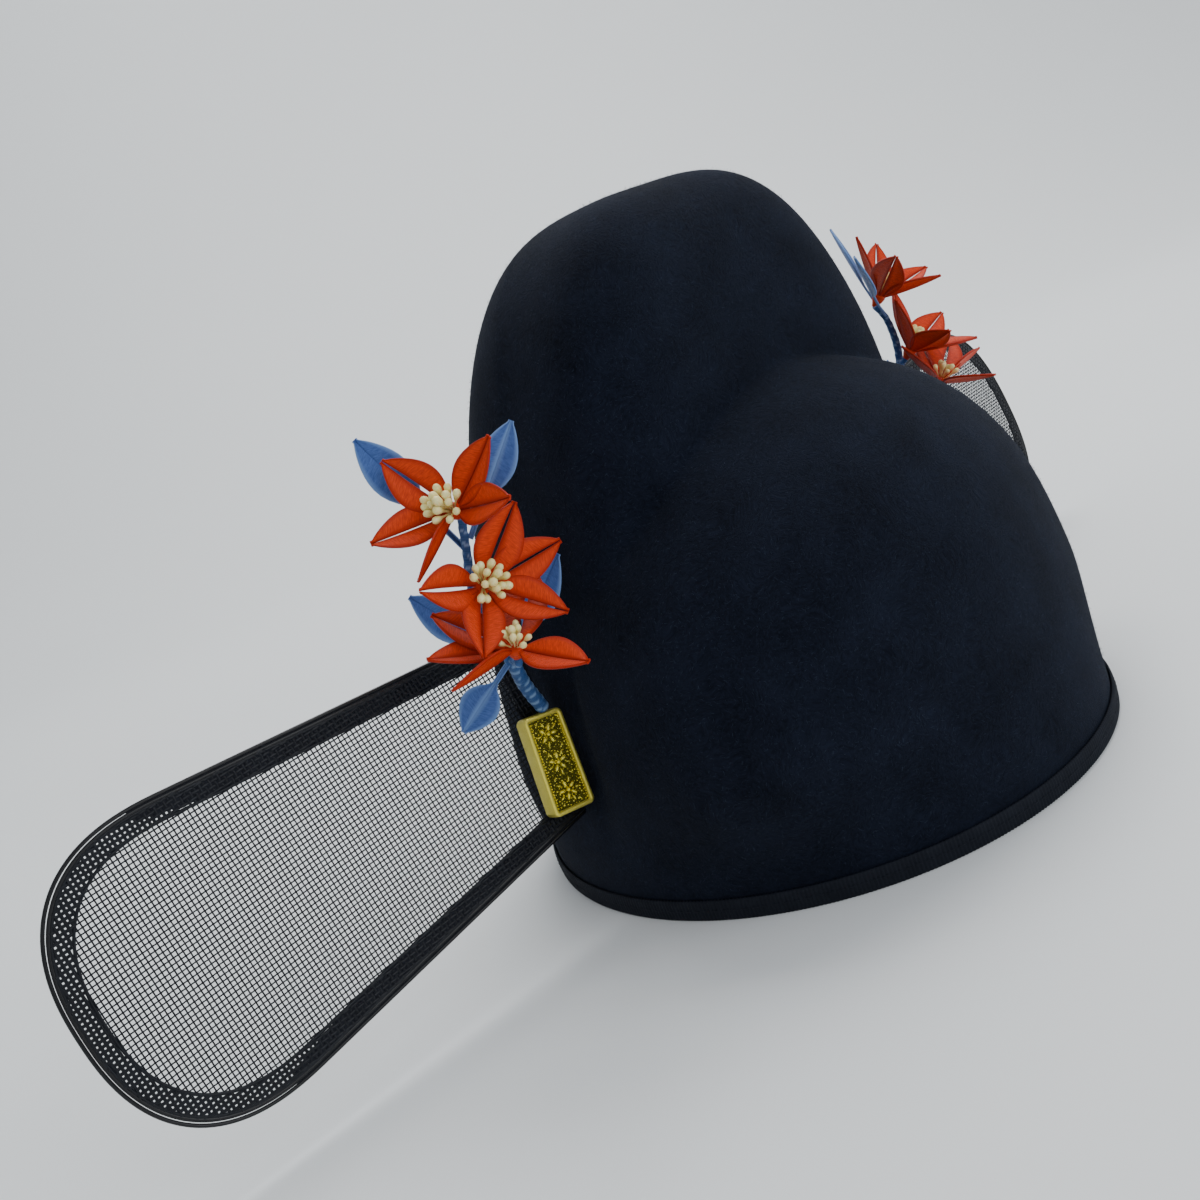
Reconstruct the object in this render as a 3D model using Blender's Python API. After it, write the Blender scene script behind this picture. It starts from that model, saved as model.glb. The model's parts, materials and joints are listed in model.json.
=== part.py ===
# A Chinese official's hat: a blocked felt cap of two domes with a ribbon-bound edge, and at each side
# a net wing, a gold bar on the wing's root and a sprig of silk flowers that grows out of the bar.
#
# Frame: the hat stands on its edge on the XY plane, +Z up. The wearer looks along -Y, so -X is the
# wearer's right. The origin is the centre of the oval edge. Sizes below are millimetres.
# Side pieces are modelled on the wearer's right; those of the left are mirrored from there.

from collections import namedtuple
from math import cos, pi, radians, sin

import bmesh
import bpy
import numpy as np
from mathutils import Euler, Matrix, Vector

MM = 0.001
GAP = 0.3
WELD = 0.003

# Felt cap
FELT_WALL = 2.5
FELT_FOOT = 1.3
EDGE_HALF_WIDTH = 93.3
EDGE_HALF_LENGTH = 98.6
Dome = namedtuple(
    "Dome", "half_width front_depth back_depth centre_y lean height rise shoulder front_square back_square")
FRONT_DOME = Dome(93.1, 59.0, 54.0, -36.6, 0.047, 132.7, 3.9, 1.71, 1.85, 3.5)
REAR_DOME = Dome(84.0, 54.0, 66.0, 27.5, -0.157, 196.2, 1.95, 3.37, 4.2, 2.5)
SKIRT = Dome(86.0, 89.0, 89.0, 0.0, -0.03, 150.0, 1.5, 1.6, 2.0, 2.0)
RAY_CENTRE_Y = 15.5
CREASE_SOFTNESS = 2.5
SKIRT_SOFTNESS = 12.0
FOOT_UPRIGHT = 12.0
FOOT_HEIGHT = 45.0
LOWEST_CREASE_ROW = radians(28)
CROWN_COLUMNS = 40
CROWN_LOW_ROWS = 7
CROWN_HIGH_ROWS = 9

# Ribbon round the edge
RIBBON = 1.1
RIBBON_HEIGHT = 6.5

# Wing: a flat paddle in its own plane, u outwards, v up, n towards the front
WING_ORIGIN = (-90.1, 18.2, 62.1)
WING_LEAN = 10.2
WING_DROOP = 3.0
WING_SWEEP = 7.15
WING_TIP = 143.5
WING_ROOT_HALF = 29.4
WING_END_HALF = 45.3
WING_ROUND_FROM = 99.0
WING_ROUND_SQUARE = 2.4
ROOT_LOW_U = -2.2
ROOT_HIGH_U = -10.6
BAND_WIDTH = 6.0
ROOT_BAND_WIDTH = 8.5
BAND_THICK = 1.4
NET_THICK = 0.5
FRAME_WIRE_RADIUS = 0.75
WING_EDGE_STEPS = 5
WING_ROUND_STEPS = 12

# Gold bar, in the wing's plane: its middle, its tilt towards the cap and its tapered outline
BAR_MIDDLE = (1.3, -11.7)
BAR_TILT = 11.7
BAR_HEIGHT = 30.0
BAR_TOP_WIDTH = 12.9
BAR_FOOT_WIDTH = 13.9
BAR_THICK = 6.6
BAR_BEVEL = 0.8
BAR_RIM = 1.3
BAR_SUNK = 0.9
BLOSSOM_RADIUS = 2.9
BLOSSOM_PITCH = 8.6
BLOSSOM_PETALS = 5

# Sprig
STEM_POINTS = ((-87.6, 12.5, 67.5), (-92.5, 9.0, 77.2), (-98.5, 1.5, 88.2), (-103.8, -4.6, 101.0),
               (-106.2, -6.4, 112.0), (-103.9, -7.6, 123.0))
STEM_RADII = (2.0, 2.0, 1.8, 1.5, 1.4, 1.2)
STALK_RADIUS = 1.2
STALK_BEND = 2.6
NECK_LENGTH = 4.2
NECK_RADIUS = 1.2
HUB_RADIUS = 2.4
HUB_TOP = 1.2
PETAL_ROOT = 1.4
HUB_SIDES = 8
PETAL_WIDTH = 10.4
PETAL_SLIT = 1.6
PETAL_THICK = 0.9
PETAL_FOLD = 0.28
PETAL_CURL = 2.4
BLADE_STEPS = 5
Flower = namedtuple("Flower", "name joint base azimuth elevation length cup petals twists tuft")
FLOWERS = (
    Flower("top", 5, (-105.0, -11.2, 134.2), 212, 33, 23.2, 25,
           (131, 34, -17, -113, -165), (0, 0, 0, 58, 0), 1.0),
    Flower("middle", 4, (-108.3, -14.5, 113.9), 260, 12, 23.7, 29,
           (47, 3, -51, -130, -196), (0, 0, 0, 0, 0), 1.0),
    Flower("low", 2, (-110.8, -20.8, 96.7), 249, 53, 23.5, 17,
           (48, -60, -158, -190, -229), (0, 0, 60, 15, 0), 0.74),
)
TOP, MIDDLE, LOW = FLOWERS
# The left sprig's flowers are less open and turned a little more upwards
LEFT_FLOWERS = (
    TOP._replace(base=(-102.0, -9.0, 132.5), azimuth=235, elevation=45, cup=44,
                 petals=(-66, 6, 78, 150, 222), twists=(0, 0, 0, 0, 0)),
    MIDDLE._replace(joint=3, base=(-104.6, -12.6, 110.4), azimuth=240, elevation=42, cup=40,
                    petals=(-24, 48, 120, 192, 264)),
    LOW._replace(base=(-107.8, -18.0, 96.0), cup=30),
)
STAMEN_RINGS = ((1, 0.0, 7.6), (6, 24.0, 7.0))
STAMEN_RADIUS = 0.55
BEAD_RADIUS = 1.25
BEAD_LENGTH = 3.4
STAMEN_SIDES = 4
Leaf = namedtuple("Leaf", "name joint start tip blade_start width curl turn")
LEAVES = (
    Leaf("1", (-103.9, -7.6, 123.0), 3.2, (-111.7, 9.0, 160.0), 0.36, 10.5, 2.5, 0),
    Leaf("2", (-103.9, -7.6, 123.0), 5.7, (-82.0, -18.5, 149.5), 0.30, 9.5, 2.0, 0),
    Leaf("3", (-98.5, 1.5, 88.2), 3.4, (-112.1, 15.2, 114.9), 0.22, 10.0, 2.0, 0),
    Leaf("4", (-98.5, 1.5, 88.2), 3.5, (-83.4, -17.0, 111.8), 0.22, 9.5, 2.0, 0),
    Leaf("5", (-98.5, 1.5, 88.2), 2.9, (-117.5, 9.0, 75.5), 0.26, 10.0, -2.0, 0),
)
PETIOLE_HALF = 0.6
LEAF_THICK = 0.9
LEAF_FOLD = 0.2

# Colours, linear RGB, with roughness and metallic
FELT = ("felt", (0.010, 0.011, 0.017), 0.95, 0.0)
RIBBON_CLOTH = ("ribbon", (0.008, 0.009, 0.012), 0.7, 0.0)
NET = ("net", (0.012, 0.012, 0.013), 0.6, 0.0)
TAPE = ("wing_tape", (0.006, 0.006, 0.007), 0.55, 0.0)
FRAME_WIRE = ("frame_wire", (0.004, 0.004, 0.005), 0.25, 0.0)
GOLD = ("gold", (0.62, 0.46, 0.07), 0.25, 1.0)
BLUE_SILK = ("blue_silk", (0.055, 0.14, 0.40), 0.45, 0.0)
RED_SILK = ("red_silk", (0.62, 0.055, 0.012), 0.45, 0.0)
CREAM = ("cream", (0.80, 0.72, 0.42), 0.5, 0.0)

WING_TURN = Euler((radians(90 - WING_LEAN), radians(-WING_DROOP), radians(-WING_SWEEP))).to_matrix().to_4x4()
WING_FRAME = Matrix.Translation(WING_ORIGIN) @ WING_TURN @ Matrix.Diagonal((-1, 1, 1, 1))


def clear_scene():
    for old in list(bpy.data.objects):
        bpy.data.objects.remove(old, do_unlink=True)


def material(finish):
    name, colour, roughness, metallic = finish
    found = bpy.data.materials.get(name)
    if found:
        return found
    made = bpy.data.materials.new(name)
    made.use_nodes = True
    shader = made.node_tree.nodes["Principled BSDF"]
    shader.inputs["Base Color"].default_value = (*colour, 1.0)
    shader.inputs["Roughness"].default_value = roughness
    shader.inputs["Metallic"].default_value = metallic
    return made


def piece(name, points, faces, finish, sharp=None):
    """An object from points in millimetres, faces turned outwards; sharp is the angle kept as an edge."""
    mesh = bpy.data.meshes.new(name)
    mesh.from_pydata([Vector(point) * MM for point in points], [], faces)
    work = bmesh.new()
    work.from_mesh(mesh)
    bmesh.ops.recalc_face_normals(work, faces=work.faces)
    work.to_mesh(mesh)
    work.free()
    if sharp is not None:
        mesh.shade_smooth()
        mesh.set_sharp_from_angle(angle=radians(sharp))
    mesh.materials.append(material(finish))
    made = bpy.data.objects.new(name, mesh)
    bpy.context.scene.collection.objects.link(made)
    return made


def fused(body, others):
    """One body made of several overlapping closed ones, by one union kept as plain mesh."""
    group = bpy.data.collections.new("fused into " + body.name)
    for other in others:
        group.objects.link(other)
    join = body.modifiers.new("fuse", "BOOLEAN")
    join.operation = "UNION"
    join.solver = "EXACT"
    join.operand_type = "COLLECTION"
    join.collection = group
    bpy.context.view_layer.update()
    graph = bpy.context.evaluated_depsgraph_get()
    whole = bpy.data.meshes.new_from_object(body.evaluated_get(graph))
    body.modifiers.clear()
    work = bmesh.new()
    work.from_mesh(whole)
    bmesh.ops.remove_doubles(work, verts=work.verts, dist=WELD * MM)
    bmesh.ops.dissolve_degenerate(work, edges=work.edges, dist=WELD * MM)
    bmesh.ops.triangulate(work, faces=work.faces)
    work.to_mesh(whole)
    work.free()
    body.data = whole
    for other in others:
        bpy.data.objects.remove(other, do_unlink=True)
    bpy.data.collections.remove(group)
    return body


def mirrored(source, name):
    """The same piece on the wearer's left."""
    mesh = source.data.copy()
    mesh.transform(Matrix.Scale(-1, 4, (1, 0, 0)))
    mesh.flip_normals()
    mesh.name = name
    made = bpy.data.objects.new(name, mesh)
    bpy.context.scene.collection.objects.link(made)
    return made


def tube(points, radii, sides):
    """Points and faces of a closed tube along a path, with flat ends."""
    path = [Vector(point) for point in points]
    last = len(path) - 1
    tangents = [(path[min(i + 1, last)] - path[max(i - 1, 0)]).normalized() for i in range(last + 1)]
    across = tangents[0].orthogonal().normalized()
    rings = []
    for centre, along, radius in zip(path, tangents, radii):
        across = (across - along * across.dot(along)).normalized()
        beside = along.cross(across)
        for k in range(sides):
            angle = 2 * pi * k / sides
            rings.append(centre + radius * (cos(angle) * across + sin(angle) * beside))
    return rings, skin(len(path), sides, False)


def skin(rings, sides, closed):
    """Faces between rings of points; closed joins the last ring to the first, else both ends are capped."""
    faces = []
    for i in range(rings if closed else rings - 1):
        a, b = i * sides, (i + 1) % rings * sides
        for k in range(sides):
            after = (k + 1) % sides
            faces.append((a + k, a + after, b + after, b + k))
    if not closed:
        faces.append(tuple(range(sides))[::-1])
        faces.append(tuple(range((rings - 1) * sides, rings * sides)))
    return faces


def smooth_path(points, values, steps):
    """Catmull-Rom curve through points, with the values that go with them."""
    knots = [np.array((*point, value), float) for point, value in zip(points, values)]
    knots = [2 * knots[0] - knots[1]] + knots + [2 * knots[-1] - knots[-2]]
    out = []
    for a, b, c, d in zip(knots, knots[1:], knots[2:], knots[3:]):
        for t in np.arange(steps) / steps:
            square, cube = (2 * a - 5 * b + 4 * c - d) * t**2, (3 * b - a - 3 * c + d) * t**3
            out.append(0.5 * (2 * b + (c - a) * t + square + cube))
    out.append(knots[-2])
    return [Vector(row[:3]) for row in out], [float(row[3]) for row in out]


def inside_dome(points, dome):
    """Whether points lie in a dome: level sections are squarish ovals that shrink towards the top."""
    x, y, z = points[..., 0], points[..., 1], np.clip(points[..., 2], 0, dome.height)
    shrink = np.maximum(1 - (z / dome.height) ** dome.rise, 0) ** (1 / dome.shoulder)
    ahead = y - dome.centre_y - dome.lean * z
    square = np.where(ahead > 0, dome.back_square, dome.front_square)
    depth = np.where(ahead > 0, dome.back_depth, dome.front_depth)
    spread = (np.abs(x / dome.half_width) ** square + np.abs(ahead / depth) ** square) ** (1 / square)
    return (spread < shrink) & (points[..., 2] < dome.height)


def inside_oval(points, inset):
    """Whether points lie over the edge's oval, drawn in by an inset."""
    x, y = points[..., 0] / (EDGE_HALF_WIDTH - inset), points[..., 1] / (EDGE_HALF_LENGTH - inset)
    return x**2 + y**2 < 1


def reach(directions, inside, shape):
    """How far each ray from the ray centre runs inside a shape, by halving."""
    low = np.zeros(directions.shape[:-1])
    high = np.full(directions.shape[:-1], 260.0)
    for _ in range(26):
        middle = (low + high) / 2
        within = inside(np.array((0, RAY_CENTRE_Y, 0)) + directions * middle[..., None], shape)
        low = np.where(within, middle, low)
        high = np.where(within, high, middle)
    return low


def soft_max(a, b, softness):
    near = np.maximum(softness - np.abs(a - b), 0) / softness
    return np.maximum(a, b) + near**2 * softness / 4


def felt_reach(directions):
    """The felt's outer face: the larger of the domes along each ray, turning into the oval at the foot."""
    front, rear, skirt = (reach(directions, inside_dome, dome) for dome in (FRONT_DOME, REAR_DOME, SKIRT))
    domes = soft_max(soft_max(front, rear, CREASE_SOFTNESS), skirt, SKIRT_SOFTNESS)
    level = directions * (1, 1, 0)
    flatness = np.maximum(np.linalg.norm(level, axis=-1), 1e-3)
    oval = reach(level / flatness[..., None], inside_oval, RIBBON + GAP) / flatness
    share = np.clip((domes * directions[..., 2] - FOOT_UPRIGHT) / (FOOT_HEIGHT - FOOT_UPRIGHT), 0, 1)
    share = share**2 * (3 - 2 * share)
    return np.where(share < 1, oval * (1 - share) + domes * share, domes)


def rays(azimuth, elevation):
    azimuth, elevation = np.broadcast_arrays(azimuth, elevation)
    level = np.cos(elevation)
    return np.stack([level * np.cos(azimuth), level * np.sin(azimuth), np.sin(elevation)], -1)


def crease_elevations(azimuths):
    """For each azimuth, the elevation at which the front dome gives way to the rear one."""
    steps = np.radians(np.arange(20, 80))
    grid = rays(azimuths[None, :], steps[:, None])
    ahead = reach(grid, inside_dome, FRONT_DOME) > reach(grid, inside_dome, REAR_DOME)
    highest = np.where(ahead, steps[:, None], LOWEST_CREASE_ROW).max(axis=0)
    smooth = (np.roll(highest, 1) + 2 * highest + np.roll(highest, -1)) / 4
    return np.maximum(np.where(highest > LOWEST_CREASE_ROW, highest, smooth), LOWEST_CREASE_ROW)


def crown():
    """The felt cap, hollow: rows of its outer face bend so that one follows the crease."""
    azimuths = np.linspace(0, 2 * pi, CROWN_COLUMNS, endpoint=False)
    creases = crease_elevations(azimuths)
    low = np.linspace(0, 1, CROWN_LOW_ROWS, endpoint=False)[:, None] * creases
    high = creases + np.linspace(0, 1, CROWN_HIGH_ROWS, endpoint=False)[:, None] * (pi / 2 - creases)
    elevations = np.concatenate([low, high])
    directions = rays(np.broadcast_to(azimuths, elevations.shape), elevations)
    outer = (0, RAY_CENTRE_Y, 0) + directions * felt_reach(directions)[..., None]
    around = np.roll(outer, -1, axis=1) - np.roll(outer, 1, axis=1)
    upward = np.gradient(outer, axis=0)
    normals = np.cross(around, upward)
    normals[0, :, 2] = 0
    normals /= np.linalg.norm(normals, axis=-1, keepdims=True)
    inner = outer - normals * FELT_WALL
    outer[0, :, 2] = inner[0, :, 2] = FELT_FOOT
    rows, columns = elevations.shape
    top = (0, RAY_CENTRE_Y, felt_reach(np.array([[0.0, 0.0, 1.0]]))[0])
    points = [*outer.reshape(-1, 3), *inner.reshape(-1, 3), top, (top[0], top[1], top[2] - FELT_WALL)]
    faces = []
    for shell, apex in ((0, len(points) - 2), (rows * columns, len(points) - 1)):
        for k in range(columns):
            after = (k + 1) % columns
            for j in range(rows - 1):
                a, b = shell + j * columns, shell + (j + 1) * columns
                faces.append((a + k, a + after, b + after, b + k))
            last = shell + (rows - 1) * columns
            faces.append((last + k, last + after, apex))
    for k in range(columns):
        after = (k + 1) % columns
        faces.append((k, rows * columns + k, rows * columns + after, after))
    return piece("crown", points, faces, FELT, sharp=70)


def edge_binding():
    """The ribbon folded over the felt's edge: a channel section swept round the oval, flat underneath."""
    felt_inside = RIBBON + GAP + FELT_WALL + GAP
    floor = FELT_FOOT - GAP
    section = ((felt_inside + RIBBON, 0), (0, 0), (0, RIBBON_HEIGHT), (RIBBON, RIBBON_HEIGHT),
               (RIBBON, floor), (felt_inside, floor), (felt_inside, RIBBON_HEIGHT),
               (felt_inside + RIBBON, RIBBON_HEIGHT))
    azimuths = np.linspace(0, 2 * pi, CROWN_COLUMNS, endpoint=False)
    directions = rays(azimuths, 0.0)
    ring = []
    for inset, height in section:
        ring.append((0, RAY_CENTRE_Y, height) + directions * reach(directions, inside_oval, inset)[:, None])
    points = np.stack(ring, axis=1).reshape(-1, 3)
    return piece("edge_binding", points, skin(CROWN_COLUMNS, len(section), True), RIBBON_CLOTH, sharp=40)


def wing_outline(inset, root_inset):
    """The paddle's outline in its plane, run from the low root corner round the end to the high one."""
    tip = WING_TIP - inset
    corners = []
    for v_sign in (-1, 1):
        start = (ROOT_LOW_U if v_sign < 0 else ROOT_HIGH_U) + root_inset
        side = []
        for i in range(WING_EDGE_STEPS):
            u = start + (WING_ROUND_FROM - start) * i / WING_EDGE_STEPS
            side.append((u, v_sign * (edge_half(u) - inset)))
        for i in range(WING_ROUND_STEPS):
            along = sin(pi / 2 * i / WING_ROUND_STEPS)
            u = WING_ROUND_FROM + (tip - WING_ROUND_FROM) * along
            shrink = (1 - along**WING_ROUND_SQUARE) ** (1 / WING_ROUND_SQUARE)
            side.append((u, v_sign * (edge_half(u) - inset) * shrink))
        corners.append(side)
    return corners[0] + [(tip, 0.0)] + corners[1][::-1]


def edge_half(u):
    return WING_ROOT_HALF + (WING_END_HALF - WING_ROOT_HALF) * u / WING_TIP


def in_wing(u, v, n):
    return WING_FRAME @ Vector((u, v, n))


def wing_net():
    """The panel of net: its edge lies just inside the band's."""
    outline = wing_outline(BAND_WIDTH + GAP, ROOT_BAND_WIDTH + GAP)
    count = len(outline)
    points = [in_wing(u, v, n) for n in (-NET_THICK / 2, NET_THICK / 2) for u, v in outline]
    faces = skin(2, count, False)
    return piece("right_wing_net", points, faces, NET, sharp=30)


def wing_band():
    """The net turned over and taped round the panel, as one flat ring."""
    outer = wing_outline(0, 0)
    inner = wing_outline(BAND_WIDTH, ROOT_BAND_WIDTH)
    points = []
    for (a, b), (c, d) in zip(outer, inner):
        half = BAND_THICK / 2
        points += [in_wing(a, b, -half), in_wing(a, b, half), in_wing(c, d, half), in_wing(c, d, -half)]
    return piece("right_wing_band", points, skin(len(outer), 4, True), TAPE, sharp=30)


def wing_wire():
    """The frame wire along the paddle's outer edge, open at the root."""
    clear = -(FRAME_WIRE_RADIUS + GAP)
    path = [in_wing(u, v, 0) for u, v in wing_outline(clear, 1.0)]
    points, faces = tube(path, [FRAME_WIRE_RADIUS] * len(path), 5)
    return piece("right_wing_wire", points, faces, FRAME_WIRE, sharp=60)


def bar_frame():
    """The bar's own axes: x across, y up, z out of its face, with the origin at its back."""
    back = BAND_THICK / 2 + GAP
    return WING_FRAME @ Matrix.Translation((*BAR_MIDDLE, back)) @ Matrix.Rotation(radians(BAR_TILT), 4, "Z")


def bar_outline(inset):
    half = BAR_HEIGHT / 2 - inset
    foot, top = BAR_FOOT_WIDTH / 2 - inset, BAR_TOP_WIDTH / 2 - inset
    return ((-foot, -half), (foot, -half), (top, half), (-top, half))


def gold_bar():
    """A cast bar with a raised rim, a sunk floor and three raised blossoms on it."""
    place = bar_frame()
    levels = ((BAR_BEVEL / 2, 0), (0, BAR_BEVEL), (0, BAR_THICK - BAR_BEVEL), (BAR_BEVEL, BAR_THICK),
              (BAR_BEVEL + BAR_RIM, BAR_THICK), (BAR_BEVEL + BAR_RIM + 0.4, BAR_THICK - BAR_SUNK))
    points = [place @ Vector((x, y, height)) for inset, height in levels for x, y in bar_outline(inset)]
    body = piece("right_gold_bar", points, skin(len(levels), 4, False), GOLD, sharp=25)
    blossoms = []
    for row in (-1, 0, 1):
        rings = []
        for below, size in ((BAR_SUNK + 0.4, 1.0), (0.35, 0.92), (0.1, 0.45)):
            for k in range(2 * BLOSSOM_PETALS):
                angle = pi / 2 + pi * k / BLOSSOM_PETALS
                radius = size * BLOSSOM_RADIUS * (1.0 if k % 2 == 0 else 0.62)
                x, y = radius * cos(angle), row * BLOSSOM_PITCH + radius * sin(angle)
                rings.append(place @ Vector((x, y, BAR_THICK - below)))
        blossoms.append(piece("blossom", rings, skin(3, 2 * BLOSSOM_PETALS, False), GOLD))
    return fused(body, blossoms)


def flower_axis(flower):
    azimuth, elevation = radians(flower.azimuth), radians(flower.elevation)
    return Vector((cos(elevation) * cos(azimuth), cos(elevation) * sin(azimuth), sin(elevation)))


def neck_end(flower, beyond=0.0):
    return Vector(flower.base) - flower_axis(flower) * (NECK_LENGTH + beyond)


def sprig_stem(top, middle, low):
    """The thick wrapped stem from the bar's top to the top flower, with a stalk to each of the others."""
    points = [*STEM_POINTS, neck_end(top, STALK_BEND), neck_end(top, 3 * GAP)]
    path, radii = smooth_path(points, [*STEM_RADII, STALK_RADIUS, STALK_RADIUS], 2)
    body = piece("right_sprig_stem", *tube(path, radii, 6), BLUE_SILK, sharp=60)
    stalks = []
    for flower in (middle, low):
        points = [STEM_POINTS[flower.joint], neck_end(flower, STALK_BEND), neck_end(flower, GAP)]
        stalks.append(piece("stalk", *tube(points, [STALK_RADIUS - 0.1] * 3, 6), BLUE_SILK))
    return fused(body, stalks)


def blade(frame, length, half_width, slit, thick, fold, curl, start=0.0):
    """Points and faces of a petal or leaf: two half-blades that meet at base and tip, with a fold between.

    frame has its origin at the base, x along the blade, y across it and z out of its upper face. Before
    start, a share of the length, the blade is a bare stalk.
    """
    points, columns = [], []
    for i in range(BLADE_STEPS + 1):
        t = i / BLADE_STEPS
        share = max(t - start, 0) / (1 - start)
        wide = max(half_width * sin(pi * share) ** 1.3, PETIOLE_HALF)
        split = slit / 2 * sin(pi * share) if 1 < i < BLADE_STEPS - 1 else 0.0
        lift = curl * (t**2 - t)
        middle = [(-split, 0.0), (split, 0.0)] if split else [(0.0, 0.0)]
        row = [(-wide - split, fold * wide), *middle, (wide + split, fold * wide)]
        ids = []
        for y, z in row:
            ids.append((len(points), len(points) + 1))
            points.append(frame @ Vector((length * t, y, z + lift + thick / 2)))
            points.append(frame @ Vector((length * t, y, z + lift - thick / 2)))
        columns.append(ids if split else [ids[0], ids[1], ids[1], ids[2]])
    faces = []
    for near, far in zip(columns, columns[1:]):
        for a, b in ((0, 1), (2, 3)):
            faces.append((near[a][0], far[a][0], far[b][0], near[b][0]))
            faces.append((near[b][1], far[b][1], far[a][1], near[a][1]))
        walls = (0, 3) if near[1] == near[2] and far[1] == far[2] else (0, 1, 2, 3)
        for a in walls:
            faces.append((near[a][0], near[a][1], far[a][1], far[a][0]))
    for end in (columns[0], columns[-1]):
        for a, b in ((0, 1), (2, 3)):
            faces.append((end[a][0], end[b][0], end[b][1], end[a][1]))
    return points, faces


def axes_frame(origin, along, upper):
    """A frame at origin with x along one direction and z as near as can be to the other."""
    along = along.normalized()
    across = upper.cross(along).normalized()
    return Matrix.Translation(origin) @ Matrix((along, across, along.cross(across))).transposed().to_4x4()


def petal_frame(flower, turn, twist):
    """A petal's frame: it leaves the hub at its turn round the flower's axis and rises by the cup angle."""
    axis = flower_axis(flower)
    first = Vector((0, 0, 1)).cross(axis).normalized()
    second = axis.cross(first)
    outward = cos(radians(turn)) * first + sin(radians(turn)) * second
    along = cos(radians(flower.cup)) * outward + sin(radians(flower.cup)) * axis
    root = Vector(flower.base) + PETAL_ROOT * outward
    return axes_frame(root, along, axis) @ Matrix.Rotation(radians(twist), 4, "X")


def corolla(flower):
    """Five petals fused to a hub and its neck."""
    axis = flower_axis(flower)
    base = Vector(flower.base)
    profile = ((-NECK_LENGTH, NECK_RADIUS), (-1.6, HUB_RADIUS), (HUB_TOP, HUB_RADIUS))
    path = [base + axis * height for height, _ in profile]
    hub = tube(path, [radius for _, radius in profile], HUB_SIDES)
    body = piece(f"right_flower_{flower.name}", *hub, RED_SILK, sharp=45)
    petals = []
    for turn, twist in zip(flower.petals, flower.twists):
        shape = blade(petal_frame(flower, turn, twist), flower.length - PETAL_ROOT,
                      (PETAL_WIDTH - PETAL_SLIT) / 2, PETAL_SLIT, PETAL_THICK, PETAL_FOLD, PETAL_CURL)
        petals.append(piece("petal", *shape, RED_SILK))
    return fused(body, petals)


def stamens(flower):
    """A tuft of bead-headed stamens on one small disc, standing on the hub."""
    axis = flower_axis(flower)
    foot = Vector(flower.base) + axis * (HUB_TOP + GAP)
    first = axis.orthogonal().normalized()
    disc = tube([foot, foot + axis * 0.9], [1.4, 1.3], HUB_SIDES)
    body = piece(f"right_stamens_{flower.name}", *disc, CREAM, sharp=45)
    beads = []
    for count, lean, length in STAMEN_RINGS:
        for k in range(count):
            side = Matrix.Rotation(2 * pi * k / count, 3, axis) @ first
            along = cos(radians(lean)) * axis + sin(radians(lean)) * side
            start = foot + axis * 0.3 + side * (0.6 if lean else 0.0)
            tip = length * flower.tuft
            profile = ((0, STAMEN_RADIUS), (tip - BEAD_LENGTH, STAMEN_RADIUS),
                       (tip - BEAD_LENGTH * 0.55, BEAD_RADIUS), (tip, BEAD_RADIUS * 0.4))
            path = [start + along * height for height, _ in profile]
            shape = tube(path, [radius for _, radius in profile], STAMEN_SIDES)
            beads.append(piece("stamen", *shape, CREAM))
    return fused(body, beads)


def leaf(shape):
    """A leaf on its stalk, its base just clear of the stem."""
    joint, tip = Vector(shape.joint), Vector(shape.tip)
    along = (tip - joint).normalized()
    base = joint + along * shape.start
    away = Vector((-0.55, -0.75, 0.35))
    frame = axes_frame(base, along, away) @ Matrix.Rotation(radians(shape.turn), 4, "X")
    points, faces = blade(frame, (tip - base).length, shape.width / 2, 0.0, LEAF_THICK, LEAF_FOLD,
                          shape.curl, shape.blade_start)
    return piece(f"right_leaf_{shape.name}", points, faces, BLUE_SILK, sharp=30)


def side(flowers):
    """All of one side's pieces, in their place on the wearer's right."""
    made = [wing_net(), wing_band(), wing_wire(), gold_bar(), sprig_stem(*flowers)]
    made += [corolla(flower) for flower in flowers]
    made += [stamens(flower) for flower in flowers]
    return made + [leaf(shape) for shape in LEAVES]


def build():
    clear_scene()
    crown()
    edge_binding()
    for made in side(LEFT_FLOWERS):
        mirrored(made, made.name.replace("right_", "left_"))
        bpy.data.objects.remove(made, do_unlink=True)
    side(FLOWERS)


build()
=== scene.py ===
# %% [markdown]
# # Dressing a Chinese official's hat
# The hat has a felt cap with two domes, a ribbon round its edge, and at each side a net wing, a gold
# bar and a sprig of silk flowers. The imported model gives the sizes. This script makes what the eye
# sees: nap, ribs, threads, satin petals and cast gold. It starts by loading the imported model.

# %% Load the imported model
import json
from math import cos, pi, radians, sin

import bmesh
import bpy
import numpy as np
from mathutils import Euler, Matrix, Vector

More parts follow.
